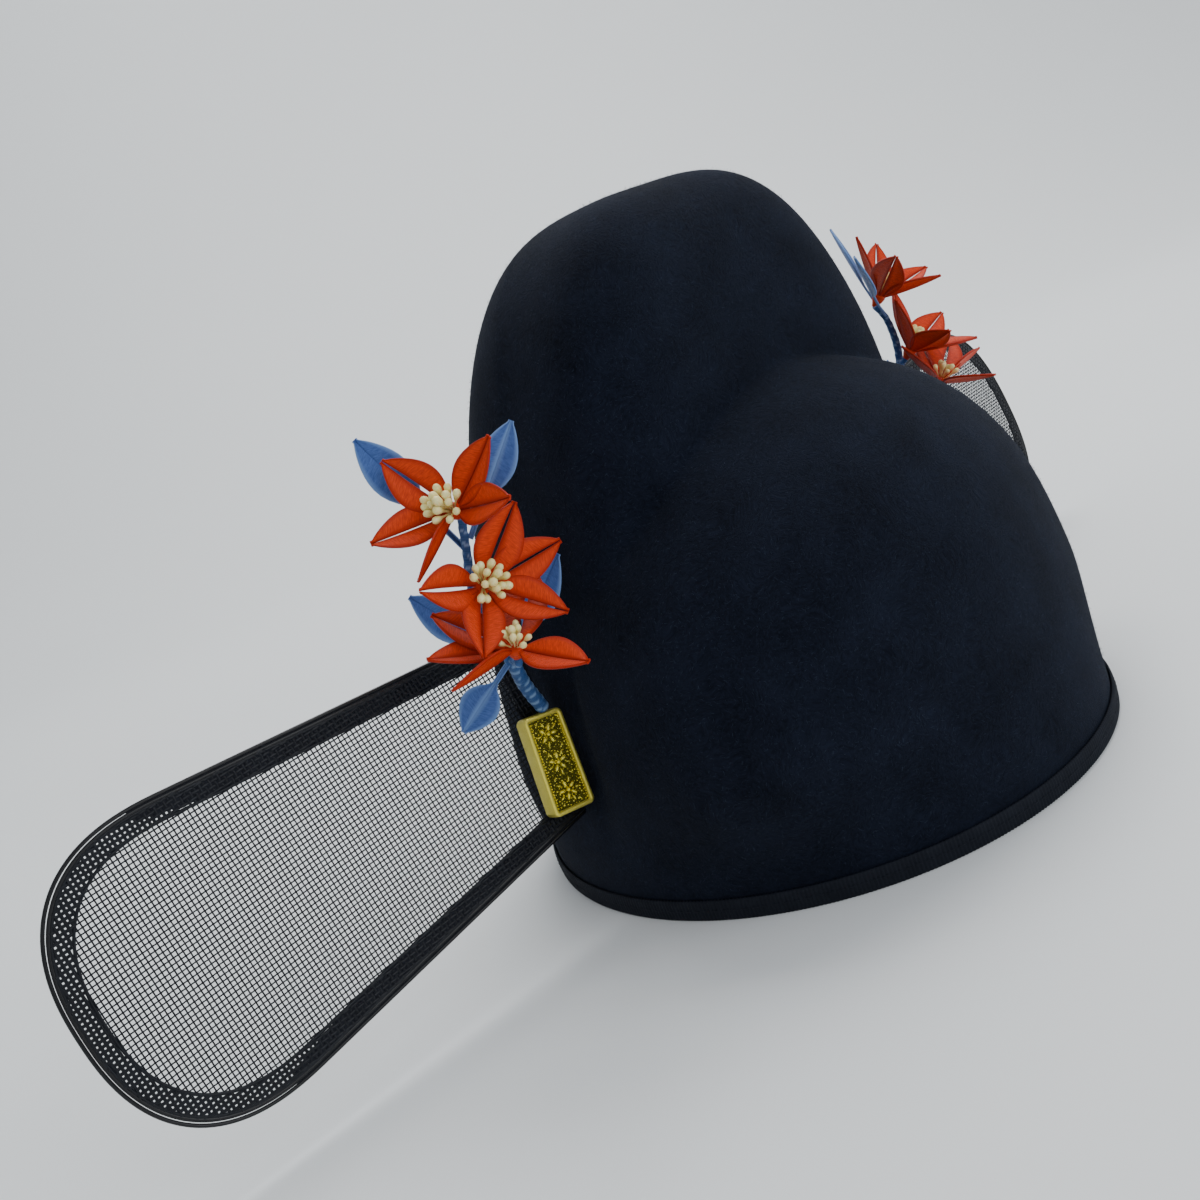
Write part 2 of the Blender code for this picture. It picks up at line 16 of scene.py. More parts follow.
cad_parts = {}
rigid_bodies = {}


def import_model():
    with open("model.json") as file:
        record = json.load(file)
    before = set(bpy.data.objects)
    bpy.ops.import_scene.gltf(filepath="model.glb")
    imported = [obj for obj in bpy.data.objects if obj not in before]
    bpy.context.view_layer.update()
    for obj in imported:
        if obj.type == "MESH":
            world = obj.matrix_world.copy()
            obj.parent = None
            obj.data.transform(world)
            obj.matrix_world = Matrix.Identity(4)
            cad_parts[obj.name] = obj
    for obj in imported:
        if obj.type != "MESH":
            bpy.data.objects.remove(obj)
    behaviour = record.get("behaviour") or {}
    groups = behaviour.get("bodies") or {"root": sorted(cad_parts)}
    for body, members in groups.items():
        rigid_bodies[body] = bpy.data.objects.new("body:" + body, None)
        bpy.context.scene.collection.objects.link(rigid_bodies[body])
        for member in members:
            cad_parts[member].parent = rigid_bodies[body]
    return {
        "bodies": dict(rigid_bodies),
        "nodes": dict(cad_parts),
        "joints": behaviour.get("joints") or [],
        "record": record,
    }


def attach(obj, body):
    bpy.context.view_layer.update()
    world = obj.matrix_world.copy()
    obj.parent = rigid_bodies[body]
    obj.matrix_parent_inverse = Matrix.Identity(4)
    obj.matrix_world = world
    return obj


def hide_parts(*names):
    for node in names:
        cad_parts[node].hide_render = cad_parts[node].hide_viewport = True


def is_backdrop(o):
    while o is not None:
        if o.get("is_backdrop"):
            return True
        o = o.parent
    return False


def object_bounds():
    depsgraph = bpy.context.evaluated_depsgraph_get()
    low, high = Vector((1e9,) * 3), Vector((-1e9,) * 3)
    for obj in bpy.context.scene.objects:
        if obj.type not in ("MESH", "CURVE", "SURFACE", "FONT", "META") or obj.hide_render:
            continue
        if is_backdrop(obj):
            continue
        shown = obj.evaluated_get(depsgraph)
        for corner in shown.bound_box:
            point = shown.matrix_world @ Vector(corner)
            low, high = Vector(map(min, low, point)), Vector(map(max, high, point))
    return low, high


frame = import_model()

cad_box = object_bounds()
MM = 0.001

# %% [markdown]
# ## The camera
# The photograph looks down a little at the hat's front right corner, and the camera was turned on its
# side by about 22 degrees. Its place and three axes were fitted to the cap's edge and the wings, so
# they are given as a matrix and not as angles.

# %% Camera
CAMERA_PLACE = Vector((-290.3, -285.9, 173.7)) * MM
CAMERA_RIGHT = Vector((0.67159, -0.64354, -0.36718))
CAMERA_UP = Vector((0.42433, -0.07217, 0.90262))
CAMERA_BACK = Vector((-0.60737, -0.76201, 0.2246))
LENS = 38.27
SENSOR_WIDTH = 36.0
NEAREST = 0.01


def linked(name, data):
    """A new object for a mesh, lamp or camera, put in the scene."""
    made = bpy.data.objects.new(name, data)
    bpy.context.scene.collection.objects.link(made)
    return made


view = bpy.data.cameras.new("camera")
view.lens = LENS
view.sensor_width = SENSOR_WIDTH
view.clip_start = NEAREST
camera = linked("camera", view)
turn = Matrix((CAMERA_RIGHT, CAMERA_UP, CAMERA_BACK)).transposed().to_4x4()
camera.matrix_world = Matrix.Translation(CAMERA_PLACE) @ turn
bpy.context.scene.camera = camera
print("camera is", round(CAMERA_PLACE.length / MM), "mm from the hat's middle")

# %% [markdown]
# ## Making meshes and node trees
# Every piece below is points and faces worked out in millimetres, so one helper makes the mesh, in
# metres and in place. A second one adds a node to a tree and joins its inputs in one line, which
# keeps the shader and geometry trees short enough to read.

# %% Mesh and node helpers
def mesh_piece(name, points, faces, uv=None, sharp=None, tones=None):
    """A smooth object from points in millimetres, with a uv pair and a tone for each where given."""
    mesh = bpy.data.meshes.new(name)
    places = np.asarray([tuple(point) for point in points]) * MM
    mesh.from_pydata(places.tolist(), [], [tuple(face) for face in faces])
    if faces:
        work = bmesh.new()
        work.from_mesh(mesh)
        bmesh.ops.recalc_face_normals(work, faces=work.faces)
        work.to_mesh(mesh)
        work.free()
        mesh.shade_smooth()
    if sharp is not None:
        mesh.set_sharp_from_angle(angle=radians(sharp))
    if uv is not None:
        corners = np.zeros(len(mesh.loops), np.int32)
        mesh.loops.foreach_get("vertex_index", corners)
        pairs = np.asarray(uv, np.float32)[corners]
        mesh.uv_layers.new(name="UVMap").uv.foreach_set("vector", pairs.ravel())
    if tones is not None:
        layer = mesh.attributes.new("tone", "FLOAT", "POINT")
        layer.data.foreach_set("value", np.asarray(tones, np.float32))
    return linked(name, mesh)

# %% Node helpers
def add(tree, kind, settings=None, **inputs):
    """Adds a node; inputs go by name, with _ for a space, or by i and their number."""
    made = tree.nodes.new(kind)
    for key, value in (settings or {}).items():
        setattr(made, key, value)
    for key, value in inputs.items():
        numbered = key[0] == "i" and key[1:].isdigit()
        socket = made.inputs[int(key[1:]) if numbered else key.replace("_", " ")]
        if isinstance(value, bpy.types.NodeSocket):
            tree.links.new(value, socket)
        else:
            socket.default_value = value
    return made


def group_tree(name, kind, inputs, outputs):
    """A node group with inputs as {name: (type, value)} and outputs as {name: type}."""
    tree = bpy.data.node_groups.new(name, kind)
    for label, (socket_type, value) in inputs.items():
        socket = tree.interface.new_socket(label, in_out="INPUT", socket_type=socket_type)
        if value is not None:
            socket.default_value = value
    for label, socket_type in outputs.items():
        tree.interface.new_socket(label, in_out="OUTPUT", socket_type=socket_type)
    given = tree.nodes.new("NodeGroupInput").outputs
    return tree, given, tree.nodes.new("NodeGroupOutput").inputs

# %% Dressing a piece
def dress(piece, slot, *nodes):
    """Lets a piece ride on the hat and stand for CAD nodes, which are hidden; the slot is not used."""
    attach(piece, "root")
    if nodes:
        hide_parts(*nodes)
    print(piece.name, "has", len(piece.data.polygons), "faces")
    return piece

# %% [markdown]
# ## A grown mesh from Geometry Nodes
# What repeats is made by Geometry Nodes: nap fibres, stitches, threads, stamens and the bar's
# stipple. Each tree takes a geometry and a finish besides its own inputs, and ends by making its
# instances real. It is put on an object, its inputs are set by identifier, and the result is kept as
# plain mesh.

# %% Growing a piece
FLOAT = "NodeSocketFloat"
WHOLE = "NodeSocketInt"
OBJECT = "NodeSocketObject"
GEOMETRY = "NodeSocketGeometry"


def grow_tree(name, **inputs):
    """A geometry tree with inputs of its own between the geometry and the finish."""
    sockets = {"Geometry": (GEOMETRY, None), **inputs, "Finish": ("NodeSocketMaterial", None)}
    return group_tree(name, "GeometryNodeTree", sockets, {"Geometry": GEOMETRY})


def grow_end(tree, given, put, made):
    """Ends a geometry tree: its instances become real and take the finish."""
    real = add(tree, "GeometryNodeRealizeInstances", Geometry=made)
    done = add(tree, "GeometryNodeSetMaterial", Geometry=real.outputs[0], Material=given["Finish"])
    tree.links.new(done.outputs[0], put["Geometry"])
    return tree


def grown(base, tree, values):
    """Runs a geometry tree on an object and swaps its mesh for the result."""
    modifier = base.modifiers.new("grow", "NODES")
    modifier.node_group = tree
    for item in tree.interface.items_tree:
        if item.item_type == "SOCKET" and item.in_out == "INPUT" and item.name in values:
            modifier[item.identifier] = values[item.name]
    bpy.context.view_layer.update()
    graph = bpy.context.evaluated_depsgraph_get()
    result = bpy.data.meshes.new_from_object(base.evaluated_get(graph))
    base.modifiers.clear()
    base.data = result
    return base

# %% Left and right
def turned_over(mesh):
    """Makes a mesh its own mirror image on the wearer's other side, right side out."""
    mesh.transform(Matrix.Scale(-1, 4, (1, 0, 0)))
    mesh.flip_normals()
    return mesh


def both_sides(piece, slot, *nodes):
    """Dresses a right-hand piece and its mirror image on the left."""
    twin = linked(piece.name.replace("right_", "left_"), turned_over(piece.data.copy()))
    dress(piece, slot, *nodes)
    dress(twin, slot, *[node.replace("right_", "left_") for node in nodes])
    return piece, twin


def one_side(piece, slot, *nodes):
    """Dresses a piece made on the right; one named for the left is turned over first."""
    if piece.name.startswith("left_"):
        turned_over(piece.data)
    return dress(piece, slot, *nodes)


print("growing turns a geometry tree's result into plain mesh")

# %% [markdown]
# ## Effects that several finishes share
# Felt, ribbon and net all show fine fibres, and petals, leaves and stems all show laid silk threads.
# A picture would blur close up, so noises and waves make them. Each effect is one group that puts out
# a height for bumps and a tone between 0 and 1 for colour.

# %% Shader groups
VECTOR = "NodeSocketVector"
HEIGHT_AND_TONE = {"Height": FLOAT, "Tone": FLOAT}
HAIRS = 900.0
CLUMPS = 60.0


def fibre_group():
    """Short tangled fibres: two noises, one drawn out, give clumps and single hairs."""
    tree, given, put = group_tree("fibres", "ShaderNodeTree", {
        "Vector": (VECTOR, None), "Hairs per metre": (FLOAT, HAIRS),
        "Clumps per metre": (FLOAT, CLUMPS)}, HEIGHT_AND_TONE)
    vector, coarse, fine = given["Vector"], given["Clumps per metre"], given["Hairs per metre"]
    bent = add(tree, "ShaderNodeTexNoise", Vector=vector, Scale=coarse, Detail=2.0)
    pull = add(tree, "ShaderNodeVectorMath", {"operation": "MULTIPLY_ADD"},
               i0=bent.outputs["Color"], i1=(0.02, 0.02, 0.02), i2=vector)
    hairs = add(tree, "ShaderNodeTexNoise", Vector=pull.outputs[0], Scale=fine, Detail=5.0,
                Roughness=0.75)
    clumps = add(tree, "ShaderNodeTexNoise", Vector=vector, Scale=coarse, Detail=3.0)
    sharp = add(tree, "ShaderNodeMapRange", Value=hairs.outputs["Fac"], From_Min=0.35, From_Max=0.72)
    soft = add(tree, "ShaderNodeMapRange", Value=clumps.outputs["Fac"], From_Min=0.3, From_Max=0.7)
    mixed = add(tree, "ShaderNodeMix", Factor=0.35, A=sharp.outputs[0], B=soft.outputs[0])
    tree.links.new(hairs.outputs["Fac"], put["Height"])
    tree.links.new(mixed.outputs[0], put["Tone"])
    return tree


def silk_group():
    """Laid threads: fine lines across the first coordinate, each with its own brightness."""
    tree, given, put = group_tree("laid silk", "ShaderNodeTree", {
        "Vector": (VECTOR, None), "Threads": (FLOAT, 2.2), "Slant": (FLOAT, 0.25)}, HEIGHT_AND_TONE)
    parts = add(tree, "ShaderNodeSeparateXYZ", Vector=given["Vector"]).outputs
    skew = add(tree, "ShaderNodeMath", {"operation": "MULTIPLY_ADD"},
               i0=parts["Y"], i1=given["Slant"], i2=parts["X"])
    place = add(tree, "ShaderNodeMath", {"operation": "MULTIPLY"},
                i0=skew.outputs[0], i1=given["Threads"])
    line = add(tree, "ShaderNodeCombineXYZ", X=place.outputs[0], Y=0.0, Z=0.0)
    long = add(tree, "ShaderNodeMath", {"operation": "MULTIPLY"}, i0=parts["Y"], i1=0.25)
    fine = add(tree, "ShaderNodeCombineXYZ", X=place.outputs[0], Y=long.outputs[0], Z=0.0)
    wave = add(tree, "ShaderNodeTexWave", Vector=line.outputs[0], Scale=1.0, Distortion=0.0)
    tone = add(tree, "ShaderNodeTexNoise", Vector=fine.outputs[0], Scale=1.6, Detail=3.0,
               Roughness=0.7)
    wide = add(tree, "ShaderNodeMapRange", Value=tone.outputs["Fac"], From_Min=0.3, From_Max=0.7)
    tree.links.new(wave.outputs["Fac"], put["Height"])
    tree.links.new(wide.outputs[0], put["Tone"])
    return tree


FIBRES = fibre_group()
SILK = silk_group()
print("groups", FIBRES.name, "and", SILK.name)

# %% [markdown]
# ## From tone and height to a finish
# A finish is one material. It starts from constant values, mixes two colours by a group's tone and
# roughens the surface by the group's height. Each could be wired by hand. Written once here, every
# later finish is a line or two, and only its own colours and sizes are left to read.

# %% Finishes
def finish(name, roughness, metallic=0.0, **constants):
    """A material with a Principled BSDF whose constant values are set on its own sockets."""
    made = bpy.data.materials.new(name)
    made.use_nodes = True
    shader = made.node_tree.nodes["Principled BSDF"]
    shader.inputs["Roughness"].default_value = roughness
    shader.inputs["Metallic"].default_value = metallic
    for key, value in constants.items():
        shader.inputs[key.replace("_", " ")].default_value = value
    return made, made.node_tree, shader


def two_tones(tree, tone, dark, light):
    """A colour between a dark and a light one, given as tuples or sockets, by tone."""
    colours = [value if isinstance(value, bpy.types.NodeSocket) else (*value, 1.0)
               for value in (dark, light)]
    mix = add(tree, "ShaderNodeMix", {"data_type": "RGBA"}, i0=tone, i6=colours[0], i7=colours[1])
    return mix.outputs[2]


def bumped(tree, shader, height, depth, strength):
    """Roughens the surface by a height; depth is in millimetres."""
    bump = add(tree, "ShaderNodeBump", Height=height, Distance=depth * MM, Strength=strength)
    tree.links.new(bump.outputs[0], shader.inputs["Normal"])


def fibred(name, roughness, dark, light, bump=None, hairs=HAIRS, clumps=CLUMPS, spread=0.0, **more):
    """A finish with short fibres in two tones; bump is (depth, strength), and with a spread the
    paler places are the glossier ones."""
    made, tree, shader = finish(name, roughness, **more)
    place = add(tree, "ShaderNodeTexCoord")
    nap = add(tree, "ShaderNodeGroup", {"node_tree": FIBRES}, Vector=place.outputs["Object"],
              Hairs_per_metre=hairs, Clumps_per_metre=clumps).outputs
    tree.links.new(two_tones(tree, nap["Tone"], dark, light), shader.inputs["Base Color"])
    if bump:
        bumped(tree, shader, nap["Height"], *bump)
    if spread:
        rough = add(tree, "ShaderNodeMapRange", Value=nap["Tone"], To_Min=roughness + 2 * spread,
                    To_Max=roughness - spread)
        tree.links.new(rough.outputs[0], shader.inputs["Roughness"])
    return made


print("fibres come", HAIRS, "to a metre and clumps", CLUMPS, "unless a finish says otherwise")

# %% [markdown]
# ## The felt cap: its shape
# The cap is one piece of black wool felt, steamed over a block: a low round dome in front, a tall one
# behind that leans over it, and a crease between. It could be sculpted, but its shape follows a rule.
# Each dome is a stack of squarish ovals, a third and wider form fills the flanks between them, and
# rays from the cap's middle stop at the largest. Near the edge all turn into the edge's oval.

# %% Shape of the domes
RIBBON = 1.1
GAP = 0.3
FELT_WALL = 2.5
FELT_FOOT = 1.3
EDGE_HALF_WIDTH = 93.3
EDGE_HALF_LENGTH = 98.6
RAY_CENTRE = np.array((0.0, 15.5, 0.0))
LONGEST_RAY = 260.0
FRONT_DOME = dict(x=93.1, front=59.0, back=54.0, y=-36.6, lean=0.047, z=132.7, rise=3.9,
                  shoulder=1.71, square=(1.85, 3.5))
REAR_DOME = dict(x=84.0, front=54.0, back=66.0, y=27.5, lean=-0.157, z=196.2, rise=1.95,
                 shoulder=3.37, square=(4.2, 2.5))
FLANKS = dict(x=86.0, front=89.0, back=89.0, y=0.0, lean=-0.03, z=150.0, rise=1.5,
              shoulder=1.6, square=(2.0, 2.0))
CREASE_SOFTNESS = 2.5
FLANK_SOFTNESS = 12.0
FOOT_UPRIGHT = 12.0
FOOT_HEIGHT = 45.0
LOWEST_CREASE_ROW = radians(28)


def inside_dome(points, dome):
    """Whether points lie in a dome."""
    x, y, z = points[..., 0], points[..., 1], np.clip(points[..., 2], 0, dome["z"])
    shrink = np.maximum(1 - (z / dome["z"]) ** dome["rise"], 0) ** (1 / dome["shoulder"])
    ahead = y - dome["y"] - dome["lean"] * z
    square = np.where(ahead > 0, dome["square"][1], dome["square"][0])
    depth = np.where(ahead > 0, dome["back"], dome["front"])
    spread = (np.abs(x / dome["x"]) ** square + np.abs(ahead / depth) ** square) ** (1 / square)
    return (spread < shrink) & (points[..., 2] < dome["z"])


def inside_oval(points, inset):
    """Whether points lie over the edge's oval, drawn in by an inset."""
    x, y = points[..., 0] / (EDGE_HALF_WIDTH - inset), points[..., 1] / (EDGE_HALF_LENGTH - inset)
    return x**2 + y**2 < 1


def reach(directions, inside, shape):
    """How far each ray from the cap's middle runs inside a shape, by halving."""
    low = np.zeros(directions.shape[:-1])
    high = np.full(directions.shape[:-1], LONGEST_RAY)
    for _ in range(24):
        middle = (low + high) / 2
        within = inside(RAY_CENTRE + directions * middle[..., None], shape)
        low = np.where(within, middle, low)
        high = np.where(within, high, middle)
    return low


def soft_max(a, b, softness):
    """The larger of two values, rounded where they are nearly equal."""
    near = np.maximum(softness - np.abs(a - b), 0) / softness
    return np.maximum(a, b) + near**2 * softness / 4

# %% The felt's outer face
def felt_reach(directions):
    """The felt's outer face along each ray."""
    front, rear, flanks = [reach(directions, inside_dome, dome)
                           for dome in (FRONT_DOME, REAR_DOME, FLANKS)]
    domes = soft_max(soft_max(front, rear, CREASE_SOFTNESS), flanks, FLANK_SOFTNESS)
    level = directions * (1, 1, 0)
    flatness = np.maximum(np.linalg.norm(level, axis=-1), 1e-3)
    oval = reach(level / flatness[..., None], inside_oval, RIBBON + GAP) / flatness
    height = domes * directions[..., 2]
    share = np.clip((height - FOOT_UPRIGHT) / (FOOT_HEIGHT - FOOT_UPRIGHT), 0, 1)
    share = share**2 * (3 - 2 * share)
    return np.where(share < 1, oval * (1 - share) + domes * share, domes)


def rays(azimuth, elevation):
    """Unit directions for angles in radians."""
    azimuth, elevation = np.broadcast_arrays(azimuth, elevation)
    level = np.cos(elevation)
    return np.stack([level * np.cos(azimuth), level * np.sin(azimuth), np.sin(elevation)], -1)


print("the cap is", round(RAY_CENTRE[2] + felt_reach(np.array([[0.0, 0.0, 1.0]]))[0], 1), "mm high")

# %% [markdown]
# ## The felt cap: its mesh
# Points lie where rays meet the rule's surface, row above row. A plain grid would cut across the
# crease and blunt it. Here the rows bend, so that one row runs along the crease and keeps it crisp.
# A second shell inside gives the felt its thickness, and slow waves give it the dents of hand work.

# %% Mesh of the felt cap
FELT_COLUMNS = 240
FELT_LOW_ROWS = 52
FELT_HIGH_ROWS = 60
UNEVEN = 0.22
DENTS = 14
DENT_WAVE = 0.055


def crease_elevations(azimuths):
    """For each azimuth, the elevation at which the front dome gives way to the rear one."""
    steps = np.radians(np.arange(20, 80, 0.25))
    grid = rays(azimuths[None, :], steps[:, None])
    ahead = reach(grid, inside_dome, FRONT_DOME) > reach(grid, inside_dome, REAR_DOME)
    highest = np.where(ahead, steps[:, None], LOWEST_CREASE_ROW).max(axis=0)
    for _ in range(3):
        highest = (np.roll(highest, 1) + 2 * highest + np.roll(highest, -1)) / 4
    return np.maximum(highest, LOWEST_CREASE_ROW)


def unevenness(points):
    """The slow dents that a hand leaves in steamed felt, as an offset along the normal."""
    draw = np.random.default_rng(7)
    total = np.zeros(points.shape[:-1])
    for _ in range(DENTS):
        wave = draw.normal(size=3) * DENT_WAVE
        total += np.sin(points @ wave + draw.uniform(0, 2 * pi))
    return UNEVEN * total / 3.7

# %% Felt cap
def felt_cap():
    """The outer and inner shell, joined round the foot."""
    azimuths = np.linspace(0, 2 * pi, FELT_COLUMNS, endpoint=False)
    creases = crease_elevations(azimuths)
    below = np.linspace(0, 1, FELT_LOW_ROWS, endpoint=False)[:, None] * creases
    above = np.linspace(0, 1, FELT_HIGH_ROWS, endpoint=False)[:, None] * (pi / 2 - creases)
    elevations = np.concatenate([below, creases + above])
    directions = rays(azimuths[None, :], elevations)
    outer = RAY_CENTRE + directions * felt_reach(directions)[..., None]
    round_the_cap = np.roll(outer, -1, axis=1) - np.roll(outer, 1, axis=1)
    normals = np.cross(round_the_cap, np.gradient(outer, axis=0))
    normals[0, :, 2] = 0
    normals /= np.linalg.norm(normals, axis=-1, keepdims=True)
    dented = np.clip((outer[..., 2] - FOOT_UPRIGHT) / FOOT_HEIGHT, 0, 1)
    inner = outer - normals * FELT_WALL
    outer = outer + normals * (unevenness(outer) * dented)[..., None]
    outer[0, :, 2] = inner[0, :, 2] = FELT_FOOT
    rows, columns = elevations.shape
    top = RAY_CENTRE + (0, 0, felt_reach(np.array([[0.0, 0.0, 1.0]]))[0])
    points = [*outer.reshape(-1, 3), *inner.reshape(-1, 3), top, top - (0, 0, FELT_WALL)]
    faces = []
    for shell, apex in ((0, len(points) - 2), (rows * columns, len(points) - 1)):
        for k in range(columns):
            after = (k + 1) % columns
            for j in range(rows - 1):
                a, b = shell + j * columns, shell + (j + 1) * columns
                faces.append((a + k, a + after, b + after, b + k))
            last = shell + (rows - 1) * columns
            faces.append((last + k, last + after, apex))
    for k in range(columns):
        after = (k + 1) % columns
        faces.append((k, rows * columns + k, rows * columns + after, after))
    return mesh_piece("felt_cap", points, faces, sharp=60)


cap = dress(felt_cap(), "felt", "crown")

# %% [markdown]
# ## Felt finish
# Wool felt swallows light: it is nearly black with a blue cast, and its surface hairs catch a soft
# grey sheen where light grazes it. The sheen sits on the shader, and the hairs come from the fibre
# group.

# %% Felt material
FELT_DARK = (0.0003, 0.0012, 0.0045)
FELT_LIGHT = (0.0090, 0.0130, 0.0270)
FELT_SHEEN = (0.55, 0.66, 0.85, 1.0)

black_felt = fibred("black_felt", 0.95, FELT_DARK, FELT_LIGHT, bump=(0.6, 0.8), Sheen_Weight=0.025,
                    Sheen_Roughness=0.5, Sheen_Tint=FELT_SHEEN, Specular_IOR_Level=0.12)
cap.data.materials.append(black_felt)
print("felt colours run from", FELT_DARK, "to", FELT_LIGHT)

# %% [markdown]
# ## Nap
# A few fibres stand off the felt and soften its outline against the pale ground. Hair strands would
# do it too, but plain mesh goes with the piece wherever it is used. Each fibre is a thin bent sliver.
# Geometry Nodes scatter them over the cap with a fixed seed, lean each its own way and vary their size.

# %% Nap fibres
FIBRES_PER_M2 = 450000.0
FIBRE_LENGTH = 1.3
FIBRE_WIDTH = 0.075
FIBRE_ROOT = 0.3
BARE_FOOT = 8.0
# The loose fibres are coloured paler than the felt: painted sheen, with a random tone between.
FUZZ_SHEEN_DARK = (0.005, 0.009, 0.020)
FUZZ_SHEEN_LIGHT = (0.050, 0.070, 0.115)


def fibre_mesh():
    """One bent sliver, rooted a little below the felt's face."""
    half, knee = FIBRE_WIDTH / 2, FIBRE_WIDTH * 0.35
    bend, rise = FIBRE_LENGTH * 0.25, FIBRE_LENGTH * 0.45
    points = [(-half, 0, -FIBRE_ROOT), (half, 0, -FIBRE_ROOT), (knee, bend, rise), (-knee, bend, rise),
              (0, FIBRE_LENGTH * 0.8, FIBRE_LENGTH * 0.62)]
    return mesh_piece("fibre", points, [(0, 1, 2, 3), (3, 2, 4)])


def nap_tree():
    """Scatters fibres over a surface, each leant its own way."""
    tree, given, put = grow_tree("scatter nap", Fibre=(OBJECT, None), Density=(FLOAT, 1000.0),
                                 Seed=(WHOLE, 5))
    seed = given["Seed"]
    scatter = add(tree, "GeometryNodeDistributePointsOnFaces", Mesh=given["Geometry"],
                  Density=given["Density"], Seed=seed)
    spin = add(tree, "FunctionNodeRandomValue", {"data_type": "FLOAT_VECTOR"},
               i0=(-0.9, -0.9, 0.0), i1=(0.3, 0.3, 6.283), Seed=seed)
    lean = add(tree, "FunctionNodeRotateRotation", {"rotation_space": "LOCAL"},
               Rotation=scatter.outputs["Rotation"], Rotate_By=spin.outputs[0])
    size = add(tree, "FunctionNodeRandomValue", {"data_type": "FLOAT"}, i2=0.4, i3=1.25, Seed=seed)
    shape = add(tree, "GeometryNodeObjectInfo", Object=given["Fibre"])
    placed = add(tree, "GeometryNodeInstanceOnPoints", Points=scatter.outputs["Points"],
                 Instance=shape.outputs["Geometry"], Rotation=lean.outputs[0], Scale=size.outputs[1])
    return grow_end(tree, given, put, placed.outputs[0])

# %% Scatter the nap
def nap():
    """Fibres on the felt's outer face, above the ribbon."""
    sliver = fibre_mesh()
    base = linked("nap_fibres", cap.data.copy())
    work = bmesh.new()
    work.from_mesh(base.data)
    work.verts.ensure_lookup_table()
    shell = FELT_COLUMNS * (FELT_LOW_ROWS + FELT_HIGH_ROWS)
    hidden = [v for v in work.verts if shell <= v.index < 2 * shell or v.co.z < BARE_FOOT * MM
              or v.index == 2 * shell + 1]
    bmesh.ops.delete(work, geom=hidden, context="VERTS")
    work.to_mesh(base.data)
    work.free()
    # Paler than the felt: painted sheen on the loose fibres.
    fuzz = fibred("felt_fuzz", 0.9, FUZZ_SHEEN_DARK, FUZZ_SHEEN_LIGHT, Specular_IOR_Level=0.2)
    grown(base, nap_tree(), {"Fibre": sliver, "Density": FIBRES_PER_M2, "Seed": 5, "Finish": fuzz})
    bpy.data.objects.remove(sliver, do_unlink=True)
    return base


dress(nap(), "felt")

# %% [markdown]
# ## Ribbon round the edge
# The felt's raw edge is bound with a black ribbed ribbon, folded over it and machine stitched. The
# ribs cross the edge, about one to a millimetre. A bump would look flat at the outline, so a folded
# section is swept round the oval and drawn in a little at every third step, which leaves real ribs.

# %% Ribbon
RIBS = 520
RIB_STEPS = 3
RIB_DEPTH = 0.3
FELT_INSIDE = RIBBON + GAP + FELT_WALL + GAP
OUTER_FACE = ((0.45, 0.05), (0.12, 0.6), (0.02, 1.8), (0.0, 3.3), (0.05, 5.2), (0.2, 6.2), (0.55, 6.5),
              (0.95, 6.3))
FOLD = ((1.1, 5.8), (1.1, 1.2), (1.5, 0.9), (FELT_INSIDE - 0.4, 0.9), (FELT_INSIDE, 1.2),
        (FELT_INSIDE, 5.8))
INNER_FACE = tuple((FELT_INSIDE + inset, height) for inset, height in (
    (0.3, 6.4), (0.8, 6.3), (1.1, 5.6), (1.1, 0.8), (0.5, 0.05)))
RIBBON_SECTION = [(inset, height, groove)
                  for groove, face in ((RIB_DEPTH, OUTER_FACE), (0.0, FOLD), (-RIB_DEPTH, INNER_FACE))
                  for inset, height in face]
RIBBON_DARK = (0.003, 0.0045, 0.009)
RIBBON_LIGHT = (0.011, 0.014, 0.022)


def loft_faces(rings, sides, closed=False):
    """Faces between rings of points; an open loft has both ends capped."""
    faces = []
    for i in range(rings if closed else rings - 1):
        a, b = i * sides, (i + 1) % rings * sides
        for k in range(sides):
            after = (k + 1) % sides
            faces.append((a + k, a + after, b + after, b + k))
    if not closed:
        faces += [tuple(range(sides))[::-1], tuple(range((rings - 1) * sides, rings * sides))]
    return faces


def oval_point(angle, inset, height):
    """A point on the edge's oval drawn in by an inset."""
    x, y = EDGE_HALF_WIDTH * cos(angle), EDGE_HALF_LENGTH * sin(angle)
    normal = Vector((cos(angle) / EDGE_HALF_WIDTH, sin(angle) / EDGE_HALF_LENGTH)).normalized()
    return Vector((x - normal.x * inset, y - normal.y * inset, height))

# %% Sweep the ribbon
def ribbon():
    """The folded section swept round the oval."""
    steps = RIBS * RIB_STEPS
    points, uv = [], []
    for k in range(steps):
        for inset, height, groove in RIBBON_SECTION:
            depth = groove if k % RIB_STEPS == 0 else 0.0
            points.append(oval_point(2 * pi * k / steps, inset + depth, height))
            uv.append((k / RIB_STEPS, height))
    faces = loft_faces(steps, len(RIBBON_SECTION), closed=True)
    return mesh_piece("edge_ribbon", points, faces, uv=uv)


black_ribbon = fibred("black_ribbon", 0.65, RIBBON_DARK, RIBBON_LIGHT, bump=(0.2, 0.6), hairs=1800.0,
                      clumps=140.0, Specular_IOR_Level=0.15)
edge = dress(ribbon(), "ribbon", "edge_binding")
edge.data.materials.append(black_ribbon)
print("ribbon:", RIBS, "ribs")

# %% [markdown]
# ## Stitches
# One row of machine stitches holds the ribbon. They could be an array along a curve. Geometry Nodes
# do the same in a way that can be reused: they turn a loop of edges into a curve, cut it into equal
# lengths and lay one small stitch along each.

# %% Stitches
STITCH_PITCH = 3.1
STITCH_HEIGHT = 3.4
STITCH_INSET = 0.04
STITCH_LENGTH = 2.3
STITCH_RADIUS = 0.17
STITCH_SIDES = 6
STITCH_PROFILE = ((-0.5, 0.35), (-0.42, 0.8), (-0.2, 1.0), (0.2, 1.0), (0.42, 0.8), (0.5, 0.35))


